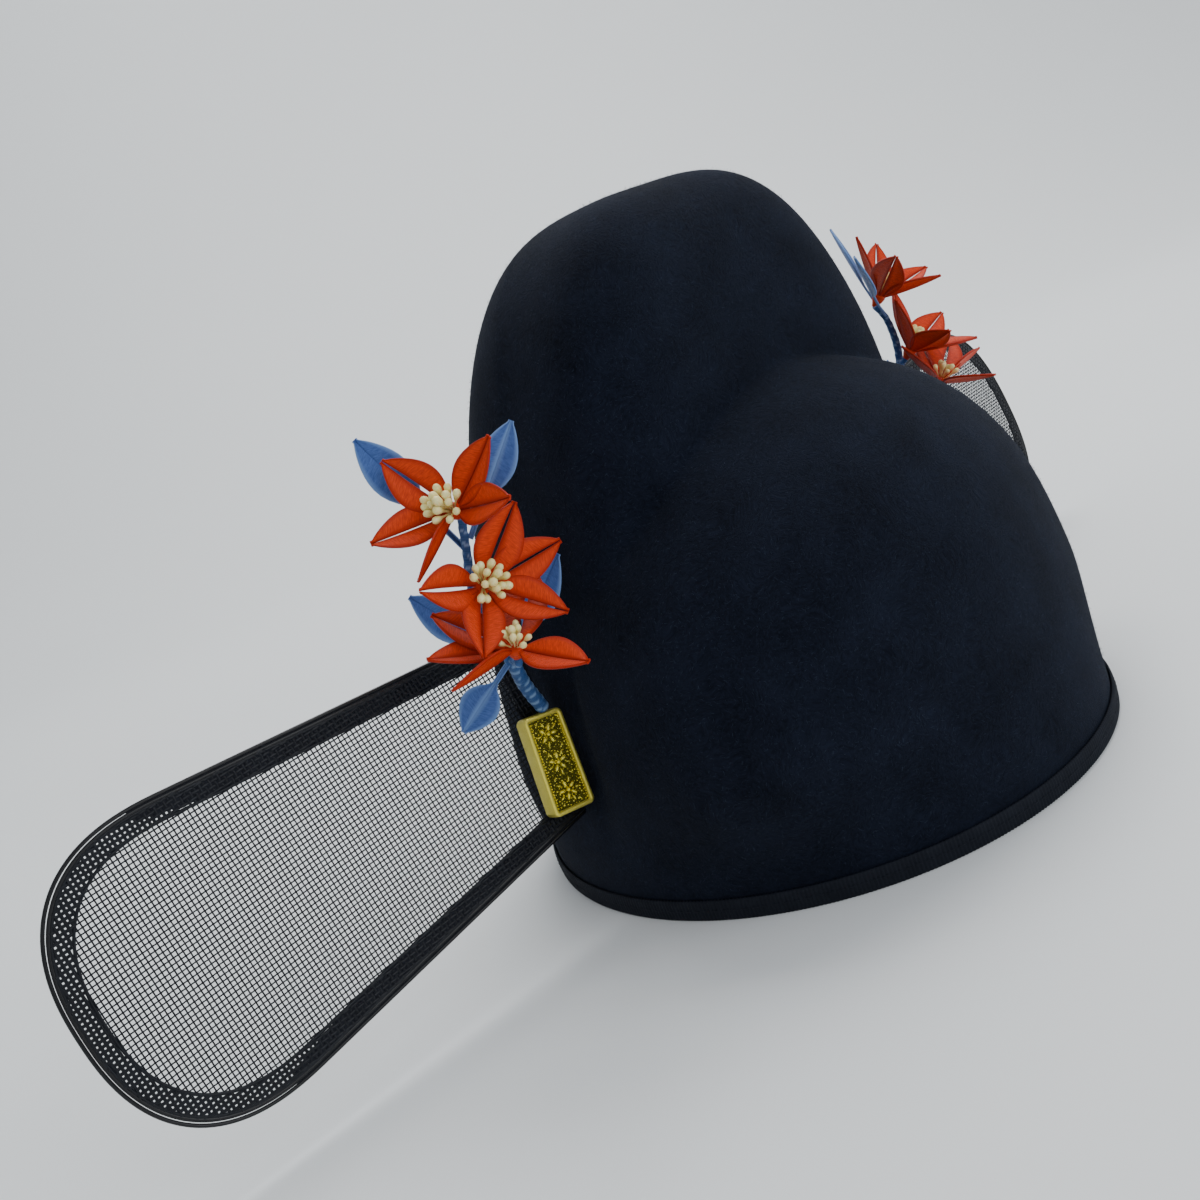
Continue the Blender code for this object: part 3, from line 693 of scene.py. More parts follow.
def stitch_mesh():
    """A short thread along X with rounded ends."""
    turns = [2 * pi * k / STITCH_SIDES for k in range(STITCH_SIDES)]
    points = [(STITCH_LENGTH * at, STITCH_RADIUS * size * cos(turn), STITCH_RADIUS * size * sin(turn))
              for at, size in STITCH_PROFILE for turn in turns]
    return mesh_piece("stitch", points, loft_faces(len(STITCH_PROFILE), STITCH_SIDES))


def stitch_tree():
    """Lays copies of an object along lines of edges, at equal distances."""
    tree, given, put = grow_tree("lay stitches", Stitch=(OBJECT, None), Pitch=(FLOAT, 0.003))
    line = add(tree, "GeometryNodeMeshToCurve", Mesh=given["Geometry"])
    cut = add(tree, "GeometryNodeResampleCurve", {"mode": "LENGTH"}, Curve=line.outputs[0],
              Length=given["Pitch"])
    along = add(tree, "GeometryNodeInputTangent")
    turned = add(tree, "FunctionNodeAlignRotationToVector", {"axis": "X"}, Vector=along.outputs[0])
    shape = add(tree, "GeometryNodeObjectInfo", Object=given["Stitch"])
    placed = add(tree, "GeometryNodeInstanceOnPoints", Points=cut.outputs[0],
                 Instance=shape.outputs["Geometry"], Rotation=turned.outputs[0])
    return grow_end(tree, given, put, placed.outputs[0])


def bare_edges(name, lines, closed=False):
    """One object of bare edges along lines of points in millimetres."""
    points, edges = [], []
    for line in lines:
        first = len(points)
        edges += [(first + k, first + k + 1) for k in range(len(line) - 1)]
        if closed:
            edges.append((first + len(line) - 1, first))
        points += [Vector(point) * MM for point in line]
    mesh = bpy.data.meshes.new(name)
    mesh.from_pydata(points, edges, [])
    return linked(name, mesh)

# %% Lay the stitches
stitch = stitch_mesh()
seam_line = [oval_point(2 * pi * k / 360, STITCH_INSET, STITCH_HEIGHT) for k in range(360)]
seam = bare_edges("edge_stitches", [seam_line], closed=True)
grown(seam, stitch_tree(), {"Stitch": stitch, "Pitch": STITCH_PITCH * MM, "Finish": black_ribbon})
dress(seam, "ribbon")
bpy.data.objects.remove(stitch, do_unlink=True)

# %% [markdown]
# ## The wings' plane
# A wing is a flat paddle of net in a wire frame. It is easiest to draw in its own plane, u outwards and
# v up, and to lay down with one matrix. All side pieces are made on the wearer's right and mirrored.

# %% Wing plane and outline
WING_ORIGIN = (-90.1, 18.2, 62.1)
WING_TURN = Euler([radians(angle) for angle in (79.8, -3.0, -7.15)])
OUTWARDS = Matrix.Diagonal((-1, 1, 1, 1))
WING_FRAME = Matrix.Translation(WING_ORIGIN) @ WING_TURN.to_matrix().to_4x4() @ OUTWARDS
WING_TIP = 143.5
WING_ROOT_HALF = 29.4
WING_END_HALF = 45.3
WING_ROUND_FROM = 99.0
WING_ROUND_SQUARE = 2.4
ROOT_LOW_U = -2.2
ROOT_HIGH_U = -10.6
BAND_WIDTH = 6.0
ROOT_BAND_WIDTH = 8.5
OUTLINE_STEP = 1.4


def in_wing(u, v, n=0.0):
    """A point given in the wing's plane, n above it."""
    return WING_FRAME @ Vector((u, v, n))


def edge_half(u):
    """Half the paddle's width where its edges are straight."""
    return WING_ROOT_HALF + (WING_END_HALF - WING_ROOT_HALF) * u / WING_TIP


def window_half(u, inset):
    """Half the paddle's width at u, drawn in by an inset."""
    tip = WING_TIP - inset
    along = min(max((u - WING_ROUND_FROM) / (tip - WING_ROUND_FROM), 0.0), 1.0)
    return (edge_half(u) - inset) * (1 - along**WING_ROUND_SQUARE) ** (1 / WING_ROUND_SQUARE)


def root_u(v, inset):
    """Where the slanted root edge lies at height v, moved outwards by an inset."""
    share = (v + WING_ROOT_HALF) / (2 * WING_ROOT_HALF)
    return ROOT_LOW_U + (ROOT_HIGH_U - ROOT_LOW_U) * share + inset

# %% Outline of the paddle
def outline(inset, root_inset, step):
    """Evenly spaced points from the paddle's low root corner round the end to the high one."""
    sides = []
    for sign in (-1, 1):
        start = root_u(sign * (WING_ROOT_HALF - inset), root_inset)
        straight = list(np.linspace(start, WING_ROUND_FROM, 60, endpoint=False))
        curved = [WING_ROUND_FROM + (WING_TIP - inset - WING_ROUND_FROM) * sin(t)
                  for t in np.linspace(0, pi / 2, 60, endpoint=False)]
        sides.append([(u, sign * window_half(u, inset)) for u in straight + curved])
    line = np.array(sides[0] + [(WING_TIP - inset, 0.0)] + sides[1][::-1])
    run = np.concatenate([[0], np.cumsum(np.linalg.norm(np.diff(line, axis=0), axis=1))])
    at = np.linspace(0, run[-1], int(run[-1] / step) + 1)
    return np.stack([np.interp(at, run, line[:, 0]), np.interp(at, run, line[:, 1])], axis=1)


print("wing outline:", round(len(outline(0, 0, 1.0))), "mm round")

# %% [markdown]
# ## Net
# The net is a plain square weave, 1.36 mm from thread to thread: each thread goes over one and under
# the next. A picture with holes would do from afar, but real threads catch light and cast a shadow.
# The threads' middle lines are worked out as edges, and Geometry Nodes give them their thickness.

# %% Net threads
THREAD_PITCH = 1.357
THREAD_RADIUS = 0.215
THREAD_WEAVE = 0.12
NET_TUCK = 1.0
NET_INSETS = (BAND_WIDTH - NET_TUCK, ROOT_BAND_WIDTH - NET_TUCK)
NET_DARK = (0.003, 0.0035, 0.006)
NET_LIGHT = (0.010, 0.012, 0.018)
U_STEPS = np.arange(-6, WING_TIP / THREAD_PITCH).astype(int)
V_STEPS = np.arange(-34, 35)


def thread_tree():
    """Thickens lines of edges to round threads."""
    tree, given, put = grow_tree("thicken threads", Radius=(FLOAT, 0.0002), Sides=(WHOLE, 4))
    line = add(tree, "GeometryNodeMeshToCurve", Mesh=given["Geometry"])
    section = add(tree, "GeometryNodeCurvePrimitiveCircle", Resolution=given["Sides"],
                  Radius=given["Radius"])
    tube = add(tree, "GeometryNodeCurveToMesh", Curve=line.outputs[0],
               Profile_Curve=section.outputs[0], Fill_Caps=True)
    return grow_end(tree, given, put, tube.outputs[0])


def in_window(i, j, inset, root_inset):
    """Whether the net's crossing (i, j) lies inside the outline drawn in by the insets."""
    u, v = i * THREAD_PITCH, j * THREAD_PITCH
    return root_u(v, root_inset) < u < WING_TIP - inset and abs(v) < window_half(u, inset)


def grid_runs(inside, along_u):
    """The net's grid as runs of neighbouring crossings for which inside is true."""
    runs = []
    outer, inner = (V_STEPS, U_STEPS) if along_u else (U_STEPS, V_STEPS)
    for a in outer:
        run = []
        for b in inner:
            i, j = (b, a) if along_u else (a, b)
            if inside[i, j]:
                run.append((i, j))
            elif run:
                runs.append(run)
                run = []
        runs.append(run)
    return [run for run in runs if len(run) > 1]

# %% Weave the net
def woven_lines(inside, lift, stray=lambda: 0.0):
    """Middle lines of threads both ways, lifted over and under each other and strayed a little."""
    crossings = {(i, j): inside(i, j) for i in U_STEPS for j in V_STEPS}
    lines = []
    for along_u, sign in ((True, 1), (False, -1)):
        for run in grid_runs(crossings, along_u):
            lines.append([in_wing(i * THREAD_PITCH + stray(), j * THREAD_PITCH + stray(),
                                  sign * lift * (-1.0) ** (i + j)) for i, j in run])
    return lines


def net_material(name, roughness, shine):
    """Black net, duller or glossier."""
    return fibred(name, roughness, NET_DARK, NET_LIGHT, bump=(0.1, 0.4), hairs=2500.0, clumps=90.0,
                  Specular_IOR_Level=shine)


THICKEN_THREADS = thread_tree()
black_net = net_material("black_net", 0.5, 0.2)
net = bare_edges("right_net_threads", woven_lines(lambda i, j: in_window(i, j, *NET_INSETS), THREAD_WEAVE))
grown(net, THICKEN_THREADS, {"Radius": THREAD_RADIUS * MM, "Sides": 4, "Finish": black_net})
nets = both_sides(net, "net", "right_wing_net")

# %% [markdown]
# ## Turned border
# Round the window the net is folded over, so its threads lie double there and leave only pinholes.
# Folding the real mesh would tangle it. Instead the same grid is drawn again there with thicker and
# slightly strayed threads, and one row runs along each edge of the border.

# %% Border threads
BORDER_FROM = 0.5
BORDER_TO = 5.95
BORDER_ROOT = 1.0
BORDER_ROWS = (1.0, 5.7)
BORDER_ROW_STEP = 1.1
BORDER_RADIUS = 0.48
BORDER_WEAVE = 0.2
BORDER_STRAY = 0.06


def on_border(i, j):
    """Whether the net's crossing (i, j) lies where the net is turned over."""
    within = in_window(i, j, BORDER_FROM, BORDER_ROOT)
    return within and not in_window(i, j, BORDER_TO, ROOT_BAND_WIDTH)


def border_lines():
    """The grid's threads on the border, and the rows along its edges."""
    draw = np.random.default_rng(11)
    lines = woven_lines(on_border, BORDER_WEAVE, lambda: draw.normal() * BORDER_STRAY)
    for row in BORDER_ROWS:
        path = outline(row, BORDER_ROOT + row, BORDER_ROW_STEP)
        heights = draw.normal(size=len(path)) * BORDER_STRAY
        lines.append([in_wing(u, v, n) for (u, v), n in zip(path, heights)])
    return lines


black_border = net_material("black_turned_net", 0.34, 0.25)
border = bare_edges("right_border_threads", border_lines())
grown(border, THICKEN_THREADS, {"Radius": BORDER_RADIUS * MM, "Sides": 6, "Finish": black_border})
borders = both_sides(border, "net", "right_wing_band")

# %% [markdown]
# ## The nets as cloth
# Each net is cloth, and its flat shape is the outline of the window. The wire frame keeps the
# net stretched, and the border belongs to the same cloth.

# %% [markdown]
# ## Tape behind the border
# A black ribbed tape lies behind the turned net along the wing's long edges and root, where it closes
# the pinholes. It ends before the round end does, and tapers there. It is a thin closed strip between
# two lines in the wing's plane, and its ribs are a finish.

# %% Tape
TAPE_END_U = 108.0
TAPE_TAPER = 22.0
TAPE_THICK = 0.5
TAPE_PAST_EDGE = 0.8
TAPE_NARROW = 1.6
TAPE_WIDENS = 4.2
TAPE_ROOT_MARGIN = 1.2
TAPE_DARK = (0.002, 0.002, 0.005)
TAPE_LIGHT = (0.014, 0.016, 0.024)


def strip(near, far, step):
    """A closed flat strip between two lines of (u, v) pairs, one step apart."""
    points, uv, faces = [], [], []
    for k, ends in enumerate(zip(near, far)):
        for (u, v), across in zip(ends, (0.0, 1.0)):
            for n in (TAPE_THICK / 2, -TAPE_THICK / 2):
                points.append(in_wing(u, v, n))
                uv.append((k * step, across))
    for a in range(0, 4 * (len(near) - 1), 4):
        b = a + 4
        faces += [(a, a + 2, b + 2, b), (a + 1, b + 1, b + 3, a + 3), (a, b, b + 1, a + 1),
                  (a + 2, a + 3, b + 3, b + 2)]
    last = 4 * (len(near) - 1)
    faces += [(0, 1, 3, 2), (last, last + 2, last + 3, last + 1)]
    return points, faces, uv


def joined(name, shapes, sharp=70):
    """One mesh piece from shapes, each (points, faces, uv), with tones where they have them."""
    points, faces, uv, tones = [], [], [], []
    for shape_points, shape_faces, shape_uv, *shape_tones in shapes:
        faces += [tuple(index + len(points) for index in face) for face in shape_faces]
        points += list(shape_points)
        uv += list(shape_uv)
        tones += [tone for run in shape_tones for tone in run]
    return mesh_piece(name, points, faces, uv=uv, sharp=sharp, tones=tones or None)

# %% Lay the tapes
def tapes():
    """A tape along each long edge and one across the root."""
    shapes = []
    for sign in (-1, 1):
        us = np.linspace(root_u(sign * WING_ROOT_HALF, 0.6), TAPE_END_U, 110)
        halves = [window_half(u, 0) for u in us]
        depths = TAPE_NARROW + TAPE_WIDENS * np.clip((TAPE_END_U - us) / TAPE_TAPER, 0, 1) ** 0.5
        outer = [(u, sign * (half + TAPE_PAST_EDGE)) for u, half in zip(us, halves)]
        inner = [(u, sign * (half - depth)) for u, half, depth in zip(us, halves, depths)]
        shapes.append(strip(outer, inner, us[1] - us[0]))
    vs = np.linspace(-WING_ROOT_HALF + TAPE_ROOT_MARGIN, WING_ROOT_HALF - TAPE_ROOT_MARGIN, 60)
    near, far = [[(root_u(v, inset), v) for v in vs] for inset in (0.2, ROOT_BAND_WIDTH)]
    shapes.append(strip(near, far, vs[1] - vs[0]))
    return joined("right_root_tape", shapes, sharp=40)


def tape_material():
    """Black tape, ribbed by the laid threads."""
    made, tree, shader = finish("black_tape", 0.6, Specular_IOR_Level=0.2)
    place = add(tree, "ShaderNodeUVMap")
    ribs = add(tree, "ShaderNodeGroup", {"node_tree": SILK}, Vector=place.outputs[0], Threads=0.45,
               Slant=0.0).outputs
    colour = two_tones(tree, ribs["Tone"], TAPE_DARK, TAPE_LIGHT)
    tree.links.new(colour, shader.inputs["Base Color"])
    bumped(tree, shader, ribs["Height"], 0.3, 0.7)
    return made


tape = tapes()
tape.data.materials.append(tape_material())
both_sides(tape, "wing_tape")

# %% [markdown]
# ## Film strip and frame wire
# Along the paddle's very edge a narrow glossy film is laid over the turned net, and just outside it
# runs the black coated wire that gives the paddle its shape. A curve with a bevel could make both.
# Here an oval section is swept along the outline, so that both follow the same rule as the net.

# %% Film and wire
WIRE_RADIUS = 0.55
WIRE_OUT = 0.86
WIRE_ROOT = 1.0
FILM_IN = 0.35
FILM_HALF_WIDTH = 0.58
FILM_HALF_THICK = 0.35
FILM_LIFT = 0.1
FILM_ROOT = 1.2


def sweep_in_wing(path, across_radius, n_radius, sides, n_shift=0.0):
    """Sweeps an oval section along a line of (u, v) pairs; returns points, faces and uv."""
    along = np.gradient(path, axis=0)
    along /= np.linalg.norm(along, axis=1, keepdims=True)
    runs = np.concatenate([[0], np.cumsum(np.linalg.norm(np.diff(path, axis=0), axis=1))])
    points, uv = [], []
    for (u, v), (du, dv), run in zip(path, along, runs):
        for s in range(sides):
            angle = 2 * pi * s / sides
            out = across_radius * cos(angle)
            points.append(in_wing(u + dv * out, v - du * out, n_shift + n_radius * sin(angle)))
            uv.append((run, s / sides))
    return points, loft_faces(len(path), sides), uv


def gloss_material(name, roughness, dark, light):
    """A smooth black coat with slow, slight waves."""
    return fibred(name, roughness, dark, light, bump=(0.15, 0.35), hairs=300.0, clumps=45.0,
                  Specular_IOR_Level=0.3)

# %% Draw film and wire
film_shape = sweep_in_wing(outline(FILM_IN, FILM_ROOT, OUTLINE_STEP), FILM_HALF_WIDTH, FILM_HALF_THICK,
                           8, FILM_LIFT)
film = joined("right_film_strip", [film_shape])
film.data.materials.append(gloss_material("black_film", 0.25, (0.004, 0.004, 0.005), (0.014, 0.014, 0.016)))
both_sides(film, "wing_tape")
wire_shape = sweep_in_wing(outline(-WIRE_OUT, WIRE_ROOT, OUTLINE_STEP), WIRE_RADIUS, WIRE_RADIUS, 10)
wire = joined("right_frame_wire", [wire_shape])
wire.data.materials.append(gloss_material("black_wire", 0.2, (0.003, 0.003, 0.004), (0.01, 0.01, 0.012)))
both_sides(wire, "frame_wire", "right_wing_wire")

# %% [markdown]
# ## Gold bar: its body
# A small cast bar, like an ingot, clasps each wing's root. Its face has a raised rim round a sunk
# floor with relief on it. A bevelled box has no such rim, so the body is a loft of rounded, slightly
# tapered rectangles that climb the side, cross the rim and go down to the floor.

# %% Gold bar body
BAND_THICK = 1.4
BAR_MIDDLE = (1.3, -11.7)
BAR_TILT = 11.7
BAR_HEIGHT = 30.0
BAR_TOP_WIDTH = 12.9
BAR_FOOT_WIDTH = 13.9
BAR_CORNER = 1.7
BAR_THICK = 6.6
BAR_SUNK = 0.9
BAR_LEVELS = ((0.9, 0.0), (0.3, 0.15), (0.0, 0.6), (0.0, 2.5), (0.0, 5.9), (0.1, 6.3), (0.35, 6.55),
              (0.6, 6.6), (0.95, 6.6), (1.2, 6.45), (1.35, 6.1), (1.45, 5.7))
BAR_PLACE = Matrix.Translation((*BAR_MIDDLE, BAND_THICK / 2 + GAP))
BAR_FRAME = WING_FRAME @ BAR_PLACE @ Matrix.Rotation(radians(BAR_TILT), 4, "Z")


def bar_ring(inset):
    """A tapered rectangle with rounded corners, drawn in by an inset."""
    half = BAR_HEIGHT / 2 - inset
    radius = max(BAR_CORNER - inset, 0.5)
    ring = []
    for corner, (sx, sy) in enumerate(((1, 1), (-1, 1), (-1, -1), (1, -1))):
        width = (BAR_TOP_WIDTH if sy > 0 else BAR_FOOT_WIDTH) / 2 - inset
        for step in range(7):
            angle = pi / 2 * (corner + step / 6)
            ring.append((sx * (width - radius) + radius * cos(angle),
                         sy * (half - radius) + radius * sin(angle)))
    return ring


def in_bar(x, y, height):
    """A point given on the bar's face, at a height over its back."""
    return BAR_FRAME @ Vector((x, y, height))


bar_points = [in_bar(x, y, height) for inset, height in BAR_LEVELS for x, y in bar_ring(inset)]
bar_faces = loft_faces(len(BAR_LEVELS), len(bar_ring(0)))
bar = mesh_piece("right_gold_bar_body", bar_points, bar_faces, sharp=50)
print("gold bar:", BAR_HEIGHT, "mm high and", BAR_THICK, "mm thick")

# %% [markdown]
# ## Gold bar: its relief
# Three blossoms with leaves stand on the floor, with small strokes between them and a row of beads
# along each side. Sculpting would be slow and hard to repeat. Every form here is the same low pad,
# stretched and turned, which gives the soft edges that casting leaves.

# %% Relief on the bar
PAD_ROOT = 0.1
BLOSSOM_SPACING = 8.6
BLOSSOM_TURN = 0.3
EYE_SIZE = (0.75, 0.75, 1.1)
BLOSSOM_OUT = 1.95
BLOSSOM_PETAL = (1.2, 0.62, 1.0)
SPRAY_OUT = (3.15, 3.0)
SPRAY_LEAF = (1.0, 0.34, 0.85)
STROKE_PLACES = [(x, y) for y in (-12.3, -4.3, 4.3, 12.3) for x in (-2.9, 2.9)]
STROKE_SIZE = (0.75, 0.22, 0.5)
STROKE_TURN = 0.8
BEAD_INSET = 1.8
BEAD_ROW_HALF = 12.6
BEAD_PITCH = 0.84


def pad(centre, size, turn, segments=10, rings=5):
    """A low rounded pad that stands on the bar's floor: centre and turn are in the bar's face."""
    floor = Matrix.Translation((*centre, BAR_THICK - BAR_SUNK - PAD_ROOT))
    place = BAR_FRAME @ floor @ Matrix.Rotation(turn, 4, "Z")
    width, depth, height = size
    points = [place @ Vector((0, 0, height))]
    for ring in range(1, rings + 1):
        angle = pi / 2 * ring / rings
        for k in range(segments):
            around = 2 * pi * k / segments
            points.append(place @ Vector((width * sin(angle) * cos(around),
                                          depth * sin(angle) * sin(around), height * cos(angle))))
    faces = [(0, 1 + k, 1 + (k + 1) % segments) for k in range(segments)]
    for ring in range(rings - 1):
        a, b = 1 + ring * segments, 1 + (ring + 1) * segments
        faces += [(a + k, b + k, b + (k + 1) % segments, a + (k + 1) % segments)
                  for k in range(segments)]
    faces.append(tuple(range(1 + (rings - 1) * segments, 1 + rings * segments)))
    return points, faces, [(0.0, 0.0)] * len(points)

# %% Blossoms and beads
def blossom(row):
    """A blossom's eye, five petals and five leaves; row is -1, 0 or 1."""
    y = row * BLOSSOM_SPACING
    shapes = [pad((0, y), EYE_SIZE, 0)]
    for k in range(5):
        angle = pi / 2 + 2 * pi * k / 5 + row * BLOSSOM_TURN
        centre = (BLOSSOM_OUT * cos(angle), y + BLOSSOM_OUT * sin(angle))
        shapes.append(pad(centre, BLOSSOM_PETAL, angle))
        leaf = angle + pi / 5
        centre = (SPRAY_OUT[0] * cos(leaf), y + SPRAY_OUT[1] * sin(leaf))
        shapes.append(pad(centre, SPRAY_LEAF, leaf, 8, 4))
    return shapes


def bead_rows():
    """Uneven small beads along both sides, as the tapered face runs."""
    draw = np.random.default_rng(5)
    shapes = []
    for y in np.arange(-BEAD_ROW_HALF, BEAD_ROW_HALF + 0.1, BEAD_PITCH):
        width = BAR_FOOT_WIDTH + (BAR_TOP_WIDTH - BAR_FOOT_WIDTH) * (y / BAR_HEIGHT + 0.5)
        for x in (BEAD_INSET - width / 2, width / 2 - BEAD_INSET):
            size = (0.34, draw.uniform(0.3, 0.5), draw.uniform(0.6, 1.0))
            shapes.append(pad((x, y), size, 0, 8, 3))
    return shapes


strokes = [pad((x, y), STROKE_SIZE, STROKE_TURN if x * y > 0 else -STROKE_TURN, 8, 4)
           for x, y in STROKE_PLACES]
relief_shapes = [shape for row in (-1, 0, 1) for shape in blossom(row)] + strokes + bead_rows()
relief = joined("right_bar_relief", relief_shapes)
print("relief:", len(relief_shapes), "pads")

# %% [markdown]
# ## Gold bar: its floor and stipple
# Between the blossoms the cast floor is stippled, and it glitters. A bump alone doesn't glint, so
# Geometry Nodes scatter small grains over the floor at even distances. The floor below them is much
# darker gilt, as painted shade in the sunk floor, and everything raised is paler, as a painted
# highlight, and glossier.

# %% Stipple
FLOOR_INSET = 1.3
FLOOR_LEVEL = BAR_THICK - BAR_SUNK
STIPPLE_SPACING = 0.82
STIPPLE_GRAIN = 0.25
GILT_SPREAD = 0.06


def stipple_tree():
    """Scatters small turned grains over a face, no two nearer than the spacing."""
    tree, given, put = grow_tree("scatter stipple", Spacing=(FLOAT, 0.0005), Grain=(FLOAT, 0.0001),
                                 Seed=(WHOLE, 3))
    seed = given["Seed"]
    scatter = add(tree, "GeometryNodeDistributePointsOnFaces", {"distribute_method": "POISSON"},
                  Mesh=given["Geometry"], Distance_Min=given["Spacing"], Density_Max=6e6, Seed=seed)
    grain = add(tree, "GeometryNodeMeshIcoSphere", Radius=given["Grain"], Subdivisions=1)
    size = add(tree, "FunctionNodeRandomValue", {"data_type": "FLOAT"}, i2=0.6, i3=1.4, Seed=seed)
    spin = add(tree, "FunctionNodeRandomValue", {"data_type": "FLOAT_VECTOR"},
               i0=(0.0, 0.0, 0.0), i1=(3.0, 3.0, 3.0), Seed=seed)
    placed = add(tree, "GeometryNodeInstanceOnPoints", Points=scatter.outputs["Points"],
                 Instance=grain.outputs[0], Rotation=spin.outputs[0], Scale=size.outputs[1])
    return grow_end(tree, given, put, placed.outputs[0])


def gilt(name, dark, light, roughness, depth, metallic=1.0):
    """Yellow gilt: paler places are glossier."""
    return fibred(name, roughness, dark, light, bump=(depth, 0.6), hairs=1500.0, clumps=150.0,
                  spread=GILT_SPREAD, metallic=metallic)

# %% Dress the bar
gilt_cast = gilt("gilt_cast", (0.80, 0.68, 0.08), (1.0, 0.88, 0.18), 0.3, 0.25, 0.7)
# Paler gilt for the relief and the stipple grains: a painted highlight.
gilt_raised = gilt("gilt_raised", (1.0, 0.84, 0.08), (1.0, 0.95, 0.22), 0.12, 0.3, 0.9)
# Much darker gilt for the sunk floor: painted shade.
gilt_floor = gilt("gilt_floor", (0.04, 0.04, 0.006), (0.20, 0.18, 0.025), 0.22, 0.6)
floor_ring = bar_ring(FLOOR_INSET)
floor_points = [in_bar(x, y, FLOOR_LEVEL + lift) for lift in (-0.1, 0.02) for x, y in floor_ring]
floor = mesh_piece("right_bar_floor", floor_points, loft_faces(2, len(floor_ring)), sharp=30)
for piece, material in ((bar, gilt_cast), (relief, gilt_raised), (floor, gilt_floor)):
    piece.data.materials.append(material)
both_sides(floor, "gold")
stipple = mesh_piece("right_bar_stipple", [in_bar(x, y, FLOOR_LEVEL) for x, y in floor_ring],
                     [tuple(range(len(floor_ring)))])
grown(stipple, stipple_tree(), {"Spacing": STIPPLE_SPACING * MM, "Grain": STIPPLE_GRAIN * MM,
                                "Seed": 3, "Finish": gilt_raised})
both_sides(bar, "gold", "right_gold_bar")
both_sides(relief, "gold")
both_sides(stipple, "gold")

# %% [markdown]
# ## Sprig: paths and tubes
# A wire stem wound with blue silk ribbon grows out of the bar's top. It carries three flowers and five
# leaves. A curve with a bevel would be smooth. Here a tube is built ring by ring, so that the winding
# can be a low step that runs round it as a screw thread does.

# %% Paths and tubes
def smooth_path(points, values, steps):
    """Catmull-Rom curve through points, with the values that go with them."""
    knots = [np.array((*point, value), float) for point, value in zip(points, values)]
    knots = [2 * knots[0] - knots[1]] + knots + [2 * knots[-1] - knots[-2]]
    out = []
    for a, b, c, d in zip(knots, knots[1:], knots[2:], knots[3:]):
        slope, bend, twist = c - a, 2 * a - 5 * b + 4 * c - d, 3 * b - a - 3 * c + d
        out += [0.5 * (2 * b + slope * t + bend * t**2 + twist * t**3) for t in np.arange(steps) / steps]
    out.append(knots[-2])
    return [Vector(row[:3]) for row in out], [float(row[3]) for row in out]


def tube(path, radii, sides, winding=0.0, pitch=4.0):
    """A closed tube along a path; winding is the height of a step that runs round it, once a pitch."""
    ahead, behind = path[1:] + path[-1:], path[:1] + path[:-1]
    tangents = [(after - before).normalized() for after, before in zip(ahead, behind)]
    across = tangents[0].orthogonal().normalized()
    points, uv = [], []
    run = 0.0
    for centre, before, along, radius in zip(path, behind, tangents, radii):
        across = (across - along * across.dot(along)).normalized()
        beside = along.cross(across)
        run += (centre - before).length
        for k in range(sides):
            angle = 2 * pi * k / sides
            step = winding * ((run / pitch + k / sides) % 1.0)
            reached = radius + step - winding / 2
            points.append(centre + reached * (cos(angle) * across + sin(angle) * beside))
            uv.append((run, k / sides))
    return points, loft_faces(len(path), sides), uv


print("paths are smoothed through a few points, and tubes follow them")

# %% [markdown]
# ## Sprig: where its flowers sit
# Each flower has a base point, and an axis that it faces along, given by azimuth and elevation. Its
# petals lie round that axis at angles read from the photograph. The far sprig repeats the near one,
# but its flowers were pushed about a little, so only what differs is stated for it.

# %% Flowers, as places and directions
NECK_LENGTH = 4.2
NECK_TUCK = 0.6
STALK_BEND = 2.0
WINDING_PITCH = 3.4
STEM_POINTS = ((-87.6, 12.5, 67.5), (-92.5, 9.0, 77.2), (-98.5, 1.5, 88.2), (-103.8, -4.6, 101.0),
               (-106.2, -6.4, 112.0), (-103.9, -7.6, 123.0))
STEM_RADII = (2.1, 2.1, 1.9, 1.5, 1.4, 1.2)
NECK_RADIUS = 1.2
STALK_RADIUS = 1.1
RIGHT_FLOWERS = {
    "top": dict(joint=5, base=(-105.0, -11.2, 134.2), azimuth=212, elevation=33, length=23.2, cup=25,
                petals=(131, 34, -17, -113, -165), twists=(0, 0, 0, 58, 0), stamens=15, tuft=1.0),
    "middle": dict(joint=4, base=(-108.3, -14.5, 113.9), azimuth=260, elevation=12, length=23.7,
                   cup=29, petals=(47, 3, -51, -130, -196), twists=(0, 0, 0, 0, 0), stamens=16,
                   tuft=1.0),
    "low": dict(joint=2, base=(-110.8, -20.8, 96.7), azimuth=249, elevation=53, length=23.5, cup=17,
                petals=(48, -60, -158, -190, -229), twists=(0, 0, 60, 15, 0), stamens=10, tuft=0.8),
}
LEFT_CHANGES = {
    "top": dict(base=(-102.0, -9.0, 132.5), azimuth=235, elevation=45, cup=44,
                petals=(-66, 6, 78, 150, 222), twists=(0, 0, 0, 0, 0)),
    "middle": dict(joint=3, base=(-104.6, -12.6, 110.4), azimuth=240, elevation=42, cup=40,
                   petals=(-24, 48, 120, 192, 264)),
    "low": dict(base=(-107.8, -18.0, 96.0), cup=30),
}
LEFT_FLOWERS = {name: {**flower, **LEFT_CHANGES[name]} for name, flower in RIGHT_FLOWERS.items()}
SPRIGS = {"right": RIGHT_FLOWERS, "left": LEFT_FLOWERS}


def flower_axis(flower):
    """The direction that a flower faces."""
    azimuth, elevation = radians(flower["azimuth"]), radians(flower["elevation"])
    level = cos(elevation)
    return Vector((level * cos(azimuth), level * sin(azimuth), sin(elevation)))


def neck_end(flower, beyond):
    """A point behind a flower, beyond the end of its neck."""
    return Vector(flower["base"]) - flower_axis(flower) * (NECK_LENGTH + beyond)


print("flowers:", {side: list(flowers) for side, flowers in SPRIGS.items()})

